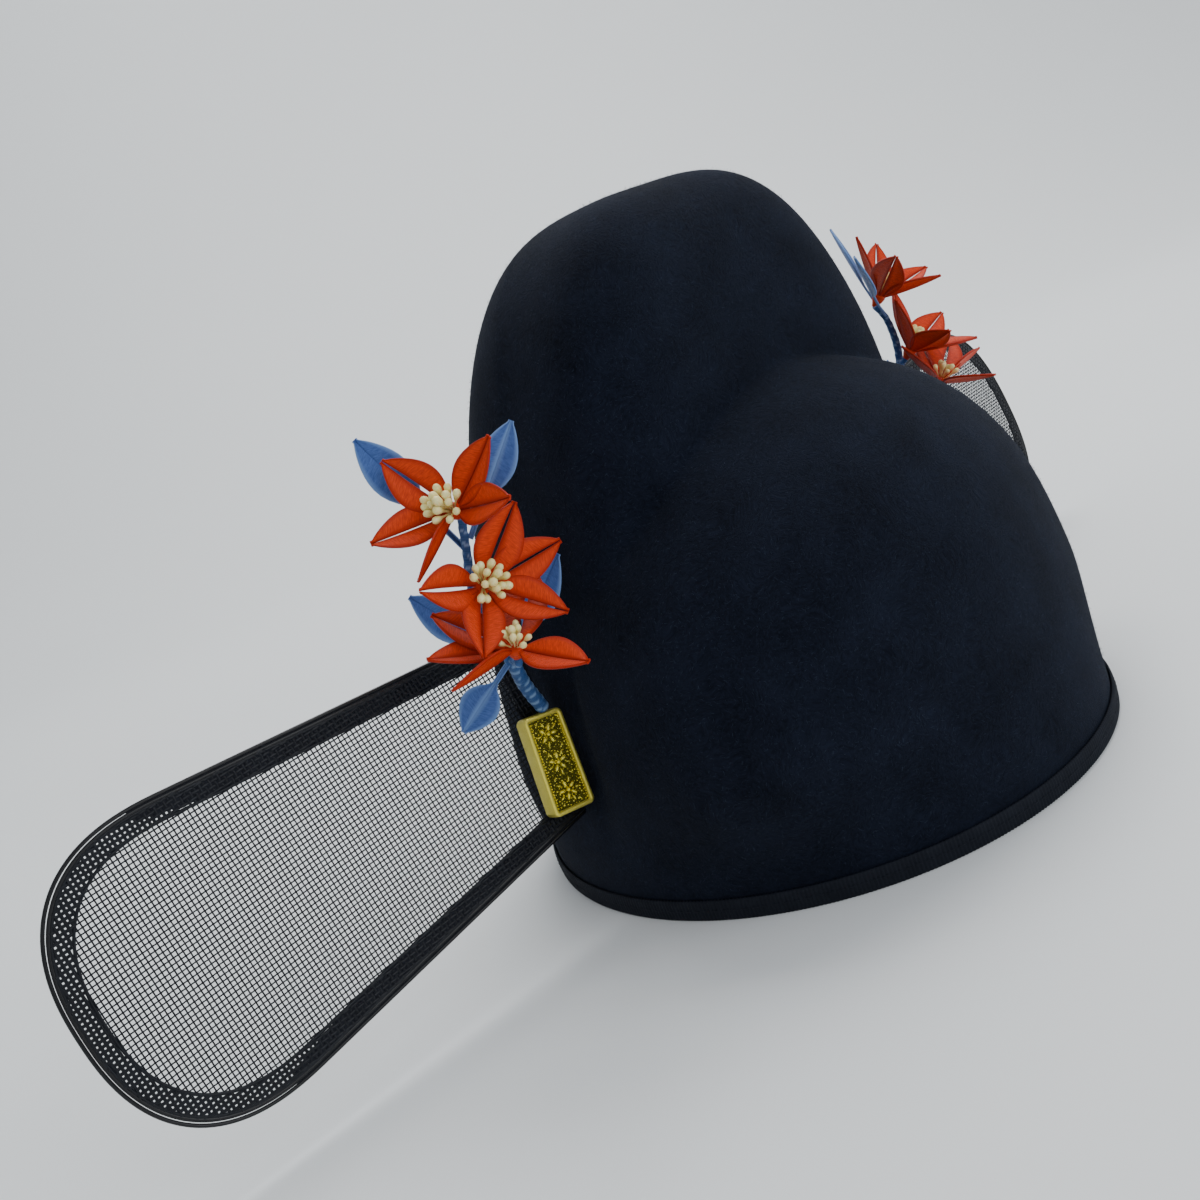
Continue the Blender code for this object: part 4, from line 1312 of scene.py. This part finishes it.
# %% [markdown]
# ## Sprig: silk finish
# Petals, leaves and stem are covered with satin thread laid side by side. A plain glossy red would
# look like plastic. The laid threads give the tone and the bump, along a slant in the piece's own
# UV, and a tone stored with each point lets cords and the winding's edge take a shade of their own.

# %% Silk finish
def silk_material(name, dark, light, edge, threads, slant, roughness=0.42):
    """Satin: laid threads for tone and bump, with the cords along each edge in their own shade."""
    made, tree, shader = finish(name, roughness, Specular_IOR_Level=0.18)
    place = add(tree, "ShaderNodeUVMap")
    laid = add(tree, "ShaderNodeGroup", {"node_tree": SILK}, Vector=place.outputs[0],
               Threads=threads, Slant=slant).outputs
    stored = add(tree, "ShaderNodeAttribute", {"attribute_name": "tone"})
    body = two_tones(tree, laid["Tone"], dark, light)
    tree.links.new(two_tones(tree, stored.outputs["Fac"], body, edge), shader.inputs["Base Color"])
    bumped(tree, shader, laid["Height"], 0.08, 0.5)
    return made


red_silk = silk_material("red_satin", (0.44, 0.024, 0.003), (0.80, 0.062, 0.006),
                         (0.36, 0.016, 0.003), 1.7, 0.3)
blue_silk = silk_material("blue_satin", (0.034, 0.080, 0.26), (0.085, 0.17, 0.46),
                          (0.16, 0.28, 0.56), 1.7, 0.3)
stem_silk = silk_material("blue_winding", (0.018, 0.060, 0.19), (0.055, 0.145, 0.38),
                          (0.24, 0.38, 0.60), 2.4, 1.2)
print("silks:", red_silk.name, blue_silk.name, stem_silk.name)

# %% [markdown]
# ## Sprig: stem and stalks
# One stem runs up to the top flower, and a short stalk leaves it for each lower one. All follow
# smooth curves through a few points. The ribbon wound round them has a paler, slightly ragged edge.

# %% Stems
def wound(shape):
    """Adds tones to a wound tube: 1 on the ribbon's edge, where the step is highest, else 0."""
    points, faces, uv = shape
    tones = [float((run / WINDING_PITCH + around) % 1.0 > 0.82 + 0.08 * sin(7 * run + 9 * around))
             for run, around in uv]
    return points, faces, uv, tones


def stem(side):
    """The wound stem with a stalk to each lower flower, as closed tubes that meet inside the stem."""
    flowers = SPRIGS[side]
    top = neck_end(flowers["top"], -NECK_TUCK)
    path, radii = smooth_path([*STEM_POINTS, top], [*STEM_RADII, NECK_RADIUS], 14)
    shapes = [wound(tube(path, radii, 16, winding=0.25, pitch=WINDING_PITCH))]
    for flower in (flowers["middle"], flowers["low"]):
        ends = [Vector(STEM_POINTS[flower["joint"]]), neck_end(flower, STALK_BEND),
                neck_end(flower, -NECK_TUCK)]
        stalk, sizes = smooth_path(ends, [STALK_RADIUS] * len(ends), 10)
        shapes.append(wound(tube(stalk, sizes, 12, winding=0.12, pitch=WINDING_PITCH)))
    return joined(side + "_stem", shapes)


for side in SPRIGS:
    stem_piece = stem(side)
    stem_piece.data.materials.append(stem_silk)
    one_side(stem_piece, "blue_silk", side + "_sprig_stem")

# %% [markdown]
# ## Sprig: half-blades
# Each petal is a wire loop covered in satin: two long half-blades with a corded edge, joined at base
# and tip, with a slit of air between them. A flat cut-out would lose the cords. So one section is
# lofted along each half-blade: a cord at the inner edge, a thin web, and a cord at the outer edge.

# %% Blades
CORD_RADIUS = 0.42
WEB_HALF = 0.2
WEB_STEPS = 3
BLADE_STATIONS = 26
BLADE_ROUND = 0.76
BLADE_LEAN = 0.12
SLIT_ROUND = 0.8
OUTER_CORD_TONE = 0.9


def blade_section(inner, outer, dome, cord, seam):
    """Points (across, up, tone, run) round a half-blade's section, from inner cord to outer."""
    low = inner + cord
    high = max(inner + max(outer - inner, 1.2 * cord) - cord, low)
    steps = [k / (WEB_STEPS + 1) for k in range(1, WEB_STEPS + 1)]
    web = [(low + (high - low) * t, dome * sin(pi * t), t) for t in steps]
    inner_cord = [(low + cord * cos(angle), cord * sin(angle), seam, 0.0)
                  for angle in np.radians((250, 215, 180, 145, 110))]
    outer_cord = [(high + cord * cos(angle), cord * sin(angle), OUTER_CORD_TONE, 1.0)
                  for angle in np.radians((70, 35, 0, -35, -70))]
    return [*inner_cord, *[(y, WEB_HALF + z, 0.0, t) for y, z, t in web],
            *outer_cord, *[(y, z - WEB_HALF, 0.0, t) for y, z, t in reversed(web)]]


def half_blade(frame, side, length, width, slit, fold, curl, dome, start=0.0, seam=0.9):
    """One half-blade as points, faces, uv and tones; side is 1 or -1."""
    points, uv, tones = [], [], []
    for i in range(BLADE_STATIONS + 1):
        eased = 0.5 - 0.5 * cos(pi * i / BLADE_STATIONS)
        share = max(eased - start, 0) / (1 - start)
        swell = sin(pi * share)
        reach_out = width * swell**BLADE_ROUND * (1 + BLADE_LEAN * cos(pi * share))
        opening = slit / 2 * swell**SLIT_ROUND
        bow = curl * (eased**2 - eased)
        section = blade_section(opening, opening + reach_out, dome * swell, CORD_RADIUS, seam)
        for y, z, tone, run in section:
            points.append(frame @ Vector((length * eased, side * y, bow + fold * y + z)))
            uv.append((length * eased, run * width))
            tones.append(tone)
    return points, loft_faces(BLADE_STATIONS + 1, len(section)), uv, tones


def axes_frame(origin, along, upper):
    """A frame at origin with x along one direction and z as near as can be to the other."""
    along = along.normalized()
    across = upper.cross(along).normalized()
    turn = Matrix((along, across, along.cross(across))).transposed().to_4x4()
    return Matrix.Translation(origin) @ turn


print("a half-blade has", BLADE_STATIONS + 1, "sections")

# %% [markdown]
# ## Sprig: flowers
# Five petals stand round a small turned hub, cupped towards the flower's axis, and some are twisted
# as in the photograph. Copies of one petal would look stamped, so each gets its own width, slit and
# curl, within a few per cent.

# %% Corollas
PETAL_ROOT = 1.4
PETAL_WIDTH = 5.7
PETAL_SLIT = 0.6
PETAL_FOLD = 0.28
PETAL_CURL = 2.4
PETAL_DOME = 0.35
HUB_PROFILE = ((-4.2, 0.9), (-3.4, 1.15), (-1.8, 2.0), (-0.4, 2.35), (0.8, 2.2), (1.2, 1.5))
HUB_SIDES = 14


def petal_frame(flower, turn, twist):
    """A petal's frame: x runs along it and z looks to the flower's axis."""
    axis = flower_axis(flower)
    first = Vector((0, 0, 1)).cross(axis).normalized()
    second = axis.cross(first)
    outward = cos(radians(turn)) * first + sin(radians(turn)) * second
    along = cos(radians(flower["cup"])) * outward + sin(radians(flower["cup"])) * axis
    foot = axes_frame(Vector(flower["base"]) + PETAL_ROOT * outward, along, axis)
    return foot @ Matrix.Rotation(radians(twist), 4, "X")

# %% Put the flowers together
def corolla(side, name):
    """Five petals round a small hub, each a little different as hand work is."""
    flower = SPRIGS[side][name]
    draw = np.random.default_rng(len(name) * 31 + len(side))
    axis = flower_axis(flower)
    path = [Vector(flower["base"]) + axis * height for height, _ in HUB_PROFILE]
    hub = tube(path, [radius for _, radius in HUB_PROFILE], HUB_SIDES)
    shapes = [(*hub, [0.0] * len(hub[0]))]
    for turn, twist in zip(flower["petals"], flower["twists"]):
        width = PETAL_WIDTH * draw.uniform(0.94, 1.06)
        slit = PETAL_SLIT * draw.uniform(0.1, 1.6)
        curl = PETAL_CURL * draw.uniform(0.6, 1.3)
        place = petal_frame(flower, turn, twist)
        length = flower["length"] - PETAL_ROOT
        shapes += [half_blade(place, half, length, width, slit, PETAL_FOLD, curl, PETAL_DOME)
                   for half in (-1, 1)]
    return joined(f"{side}_petals_{name}", shapes)


for side in SPRIGS:
    for name in SPRIGS[side]:
        petals = corolla(side, name)
        petals.data.materials.append(red_silk)
        one_side(petals, "red_silk", f"{side}_flower_{name}")

# %% [markdown]
# ## Sprig: leaves
# A leaf is made like a petal, but its halves are closed along the middle, and a stretch of bare stalk
# comes before the blade. The stalk reaches into the stem's winding, as where it is bound in.

# %% Leaves
LEAF_DOME = 0.25
LEAF_SLIT = -0.2
LEAF_WIDEN = 1.14
LEAF_FOLD = 0.2
UPPER_JOINT = STEM_POINTS[5]
LOWER_JOINT = STEM_POINTS[2]
LEAVES = {
    "1": dict(joint=UPPER_JOINT, start=3.2, tip=(-111.7, 9.0, 160.0), blade_start=0.36, width=5.2,
              curl=2.5, seam=0.0),
    "2": dict(joint=UPPER_JOINT, start=5.7, tip=(-82.0, -18.5, 149.5), blade_start=0.30, width=4.8,
              curl=2.0, seam=1.0),
    "3": dict(joint=LOWER_JOINT, start=3.4, tip=(-112.1, 15.2, 114.9), blade_start=0.22, width=5.0,
              curl=2.0, seam=0.0),
    "4": dict(joint=LOWER_JOINT, start=3.5, tip=(-83.4, -17.0, 111.8), blade_start=0.22, width=4.8,
              curl=2.0, seam=0.0),
    "5": dict(joint=LOWER_JOINT, start=2.9, tip=(-117.5, 9.0, 75.5), blade_start=0.26, width=5.0,
              curl=-2.0, seam=1.0),
}
LEAF_FACING = Vector((-0.55, -0.75, 0.35))
STALK_TUCK = 2.6

# %% Bind in the leaves
def leaf(number):
    """Both halves of a leaf, from its joint in the stem to its tip."""
    sizes = LEAVES[number]
    joint, tip = Vector(sizes["joint"]), Vector(sizes["tip"])
    along = (tip - joint).normalized()
    base = joint + along * (sizes["start"] - STALK_TUCK)
    length = (tip - base).length
    blade_start = sizes["blade_start"] * (1 - STALK_TUCK / length) + STALK_TUCK / length
    place = axes_frame(base, along, LEAF_FACING)
    halves = [half_blade(place, half, length, LEAF_WIDEN * sizes["width"], LEAF_SLIT, LEAF_FOLD,
                         sizes["curl"], LEAF_DOME, blade_start, sizes["seam"]) for half in (-1, 1)]
    return joined("right_blue_leaf_" + number, halves)


for number in LEAVES:
    blade = leaf(number)
    blade.data.materials.append(blue_silk)
    both_sides(blade, "blue_silk", "right_leaf_" + number)

# %% [markdown]
# ## Sprig: stamens
# In each flower's middle stands a tuft of cream stamens: thin stiff threads with a drop of paste at
# the end. They could be copied by hand. Instead one stamen is turned as a solid, and Geometry Nodes
# put one on each point of a small fan and aim it along a direction that is stored with the point.

# %% Stamens
STAMEN_PROFILE = ((0.0, 0.3), (2.6, 0.32), (3.8, 0.45), (4.7, 0.78), (5.6, 1.08), (6.5, 1.22),
                  (7.2, 1.1), (7.7, 0.7), (7.95, 0.2))
STAMEN_SIDES = 8
TUFT_FOOT = 1.5
TUFT_LEANS = (4, 18, 38)
GOLDEN_TURN = 0.618
CREAM_DARK = (0.78, 0.67, 0.22)
CREAM_LIGHT = (0.98, 0.92, 0.52)


def stamen_mesh():
    """One stamen, turned about Z."""
    turns = [2 * pi * k / STAMEN_SIDES for k in range(STAMEN_SIDES)]
    points = [(radius * cos(turn), radius * sin(turn), height)
              for height, radius in STAMEN_PROFILE for turn in turns]
    return mesh_piece("stamen", points, loft_faces(len(STAMEN_PROFILE), STAMEN_SIDES))


def stamen_tree():
    """Puts an object on each point, aimed and sized as the point says."""
    tree, given, put = grow_tree("plant stamens", Stamen=(OBJECT, None))
    aim = add(tree, "GeometryNodeInputNamedAttribute", {"data_type": "FLOAT_VECTOR"}, Name="aim")
    size = add(tree, "GeometryNodeInputNamedAttribute", {"data_type": "FLOAT"}, Name="size")
    turned = add(tree, "FunctionNodeAlignRotationToVector", {"axis": "Z"}, Vector=aim.outputs[0])
    shape = add(tree, "GeometryNodeObjectInfo", Object=given["Stamen"])
    placed = add(tree, "GeometryNodeInstanceOnPoints", Points=given["Geometry"],
                 Instance=shape.outputs["Geometry"], Rotation=turned.outputs[0],
                 Scale=size.outputs[0])
    return grow_end(tree, given, put, placed.outputs[0])

# %% Plant the stamens
def stamen_points(side, name):
    """A fan of points round a flower's middle, each with its aim and size."""
    flower = SPRIGS[side][name]
    draw = np.random.default_rng(len(name) * 17 + len(side))
    axis = flower_axis(flower)
    first = axis.orthogonal().normalized()
    foot = Vector(flower["base"]) + axis * TUFT_FOOT
    points, aims, sizes = [], [], []
    for k in range(flower["stamens"]):
        ring = 0 if k == 0 else 1 if k < 6 else 2
        around = 2 * pi * k * GOLDEN_TURN + draw.uniform(-0.2, 0.2)
        lean = radians(TUFT_LEANS[ring] + draw.uniform(-5, 5))
        out = Matrix.Rotation(around, 3, axis) @ first
        points.append(foot + out * (0.2 + 0.5 * ring))
        aims.append(cos(lean) * axis + sin(lean) * out)
        sizes.append(flower["tuft"] * draw.uniform(0.86, 1.06) * (1.06 - 0.06 * ring))
    return points, aims, sizes


def tuft(side, name):
    """The stamens of one flower as a plain mesh."""
    points, aims, sizes = stamen_points(side, name)
    piece = mesh_piece(f"{side}_tuft_{name}", points, [])
    aim = piece.data.attributes.new("aim", "FLOAT_VECTOR", "POINT")
    aim.data.foreach_set("vector", np.array(aims).ravel())
    size = piece.data.attributes.new("size", "FLOAT", "POINT")
    size.data.foreach_set("value", sizes)
    grown(piece, PLANT_STAMENS, {"Stamen": stamen, "Finish": cream})
    piece.data.shade_smooth()
    return piece


cream = fibred("cream_stamens", 0.38, CREAM_DARK, CREAM_LIGHT, bump=(0.1, 0.5), hairs=700.0,
               clumps=250.0, Subsurface_Weight=0.2, Subsurface_Scale=0.001)
PLANT_STAMENS = stamen_tree()
stamen = stamen_mesh()
for side in SPRIGS:
    for name in SPRIGS[side]:
        one_side(tuft(side, name), "cream", f"{side}_stamens_{name}")
bpy.data.objects.remove(stamen, do_unlink=True)

# %% [markdown]
# ## Ground
# The hat stands on a pale seamless ground. The camera looks almost level, so a flat floor would end
# in a horizon. A sweep that curves up behind the hat has none, as paper does in a studio.

# %% Sweep
SWEEP_FLAT = 900.0
SWEEP_RADIUS = 900.0
SWEEP_HALF_WIDTH = 4000.0
SWEEP_BACKWARD = 3000.0
SWEEP_TOP = 3500.0
SWEEP_STEPS = 32
GROUND_DARK = (0.79, 0.81, 0.815)
GROUND_LIGHT = (0.83, 0.85, 0.855)
AWAY = Vector((-CAMERA_BACK.x, -CAMERA_BACK.y, 0)).normalized()
BESIDE = Vector((AWAY.y, -AWAY.x, 0))
UP = Vector((0, 0, 1))


def sweep():
    """A floor that turns up in a quarter circle behind the hat, as the camera sees it."""
    turns = [pi / 2 * step / SWEEP_STEPS for step in range(SWEEP_STEPS + 1)]
    curve = [(SWEEP_FLAT + SWEEP_RADIUS * sin(turn), SWEEP_RADIUS * (1 - cos(turn))) for turn in turns]
    profile = [(-SWEEP_BACKWARD, 0.0), (0.0, 0.0), *curve, (SWEEP_FLAT + SWEEP_RADIUS, SWEEP_TOP)]
    points = [AWAY * run + BESIDE * side + UP * height
              for run, height in profile for side in (-SWEEP_HALF_WIDTH, SWEEP_HALF_WIDTH)]
    faces = [(2 * k, 2 * k + 1, 2 * k + 3, 2 * k + 2) for k in range(len(profile) - 1)]
    return mesh_piece("ground", points, faces)


def ground_material():
    """Pale matt ground with faint clouds."""
    made, tree, shader = finish("pale_ground", 0.6, Specular_IOR_Level=0.2)
    place = add(tree, "ShaderNodeTexCoord")
    cloud = add(tree, "ShaderNodeTexNoise", Vector=place.outputs["Object"], Scale=2.0, Detail=2.0)
    colour = two_tones(tree, cloud.outputs["Fac"], GROUND_DARK, GROUND_LIGHT)
    tree.links.new(colour, shader.inputs["Base Color"])
    return made


ground = sweep()
ground.data.materials.append(ground_material())
ground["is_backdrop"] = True
print("the ground turns up", SWEEP_FLAT, "mm behind the hat")

# %% [markdown]
# ## Light
# The photograph has soft light with no hard shadow. A large light stands high, a little behind the
# hat and to the left. A weaker and wider one fills from the right in front, and a third is aimed at
# the sweep behind, which keeps the backdrop pale. The world's even light does the rest.

# %% Lights
WORLD_COLOUR = (0.93, 0.96, 1.0, 1.0)
WORLD_STRENGTH = 0.68
HAT_MIDDLE = (0.0, 0.0, 0.08)
KEY_PLACE = CAMERA_RIGHT * -0.15 + CAMERA_UP * 1.1 - CAMERA_BACK * 0.35 + UP * 0.35
FILL_PLACE = CAMERA_RIGHT * 0.8 + CAMERA_UP * 0.7 + CAMERA_BACK * 0.9 + UP * 0.2


def area_light(name, place, size, power, colour=(1.0, 1.0, 1.0), aim=HAT_MIDDLE):
    """A soft rectangular light at a place, turned to what it is aimed at."""
    lamp = bpy.data.lights.new(name, "AREA")
    lamp.shape = "RECTANGLE"
    lamp.size, lamp.size_y = size
    lamp.energy = power
    lamp.color = colour
    turn = (Vector(aim) - place).to_track_quat("-Z", "Y").to_matrix().to_4x4()
    linked(name, lamp).matrix_world = Matrix.Translation(place) @ turn
    print(name, "light:", power, "W")


area_light("key", KEY_PLACE, (0.8, 0.6), 15.0)
area_light("fill", FILL_PLACE, (1.2, 0.9), 8.0, (0.92, 0.96, 1.0))
area_light("backdrop", AWAY * 0.8 + UP * 1.35, (1.6, 0.6), 8.0, aim=AWAY * 2.4 + UP * 0.9)
world = bpy.data.worlds.new("studio")
bpy.context.scene.world = world
world.use_nodes = True
background = world.node_tree.nodes["Background"]
background.inputs["Color"].default_value = WORLD_COLOUR
background.inputs["Strength"].default_value = WORLD_STRENGTH

# %% [markdown]
# ## Sizes and finish
# The boxes round the imported hat and round the dressed one are printed as sizes in millimetres.

# %% Print the boxes and finish
dressed_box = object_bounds()
boxes = {"cad": [list(corner) for corner in cad_box], "visual": [list(corner) for corner in dressed_box]}
for label, (low, high) in boxes.items():
    print(label, "box in mm:", [round((b - a) / MM, 1) for a, b in zip(low, high)])
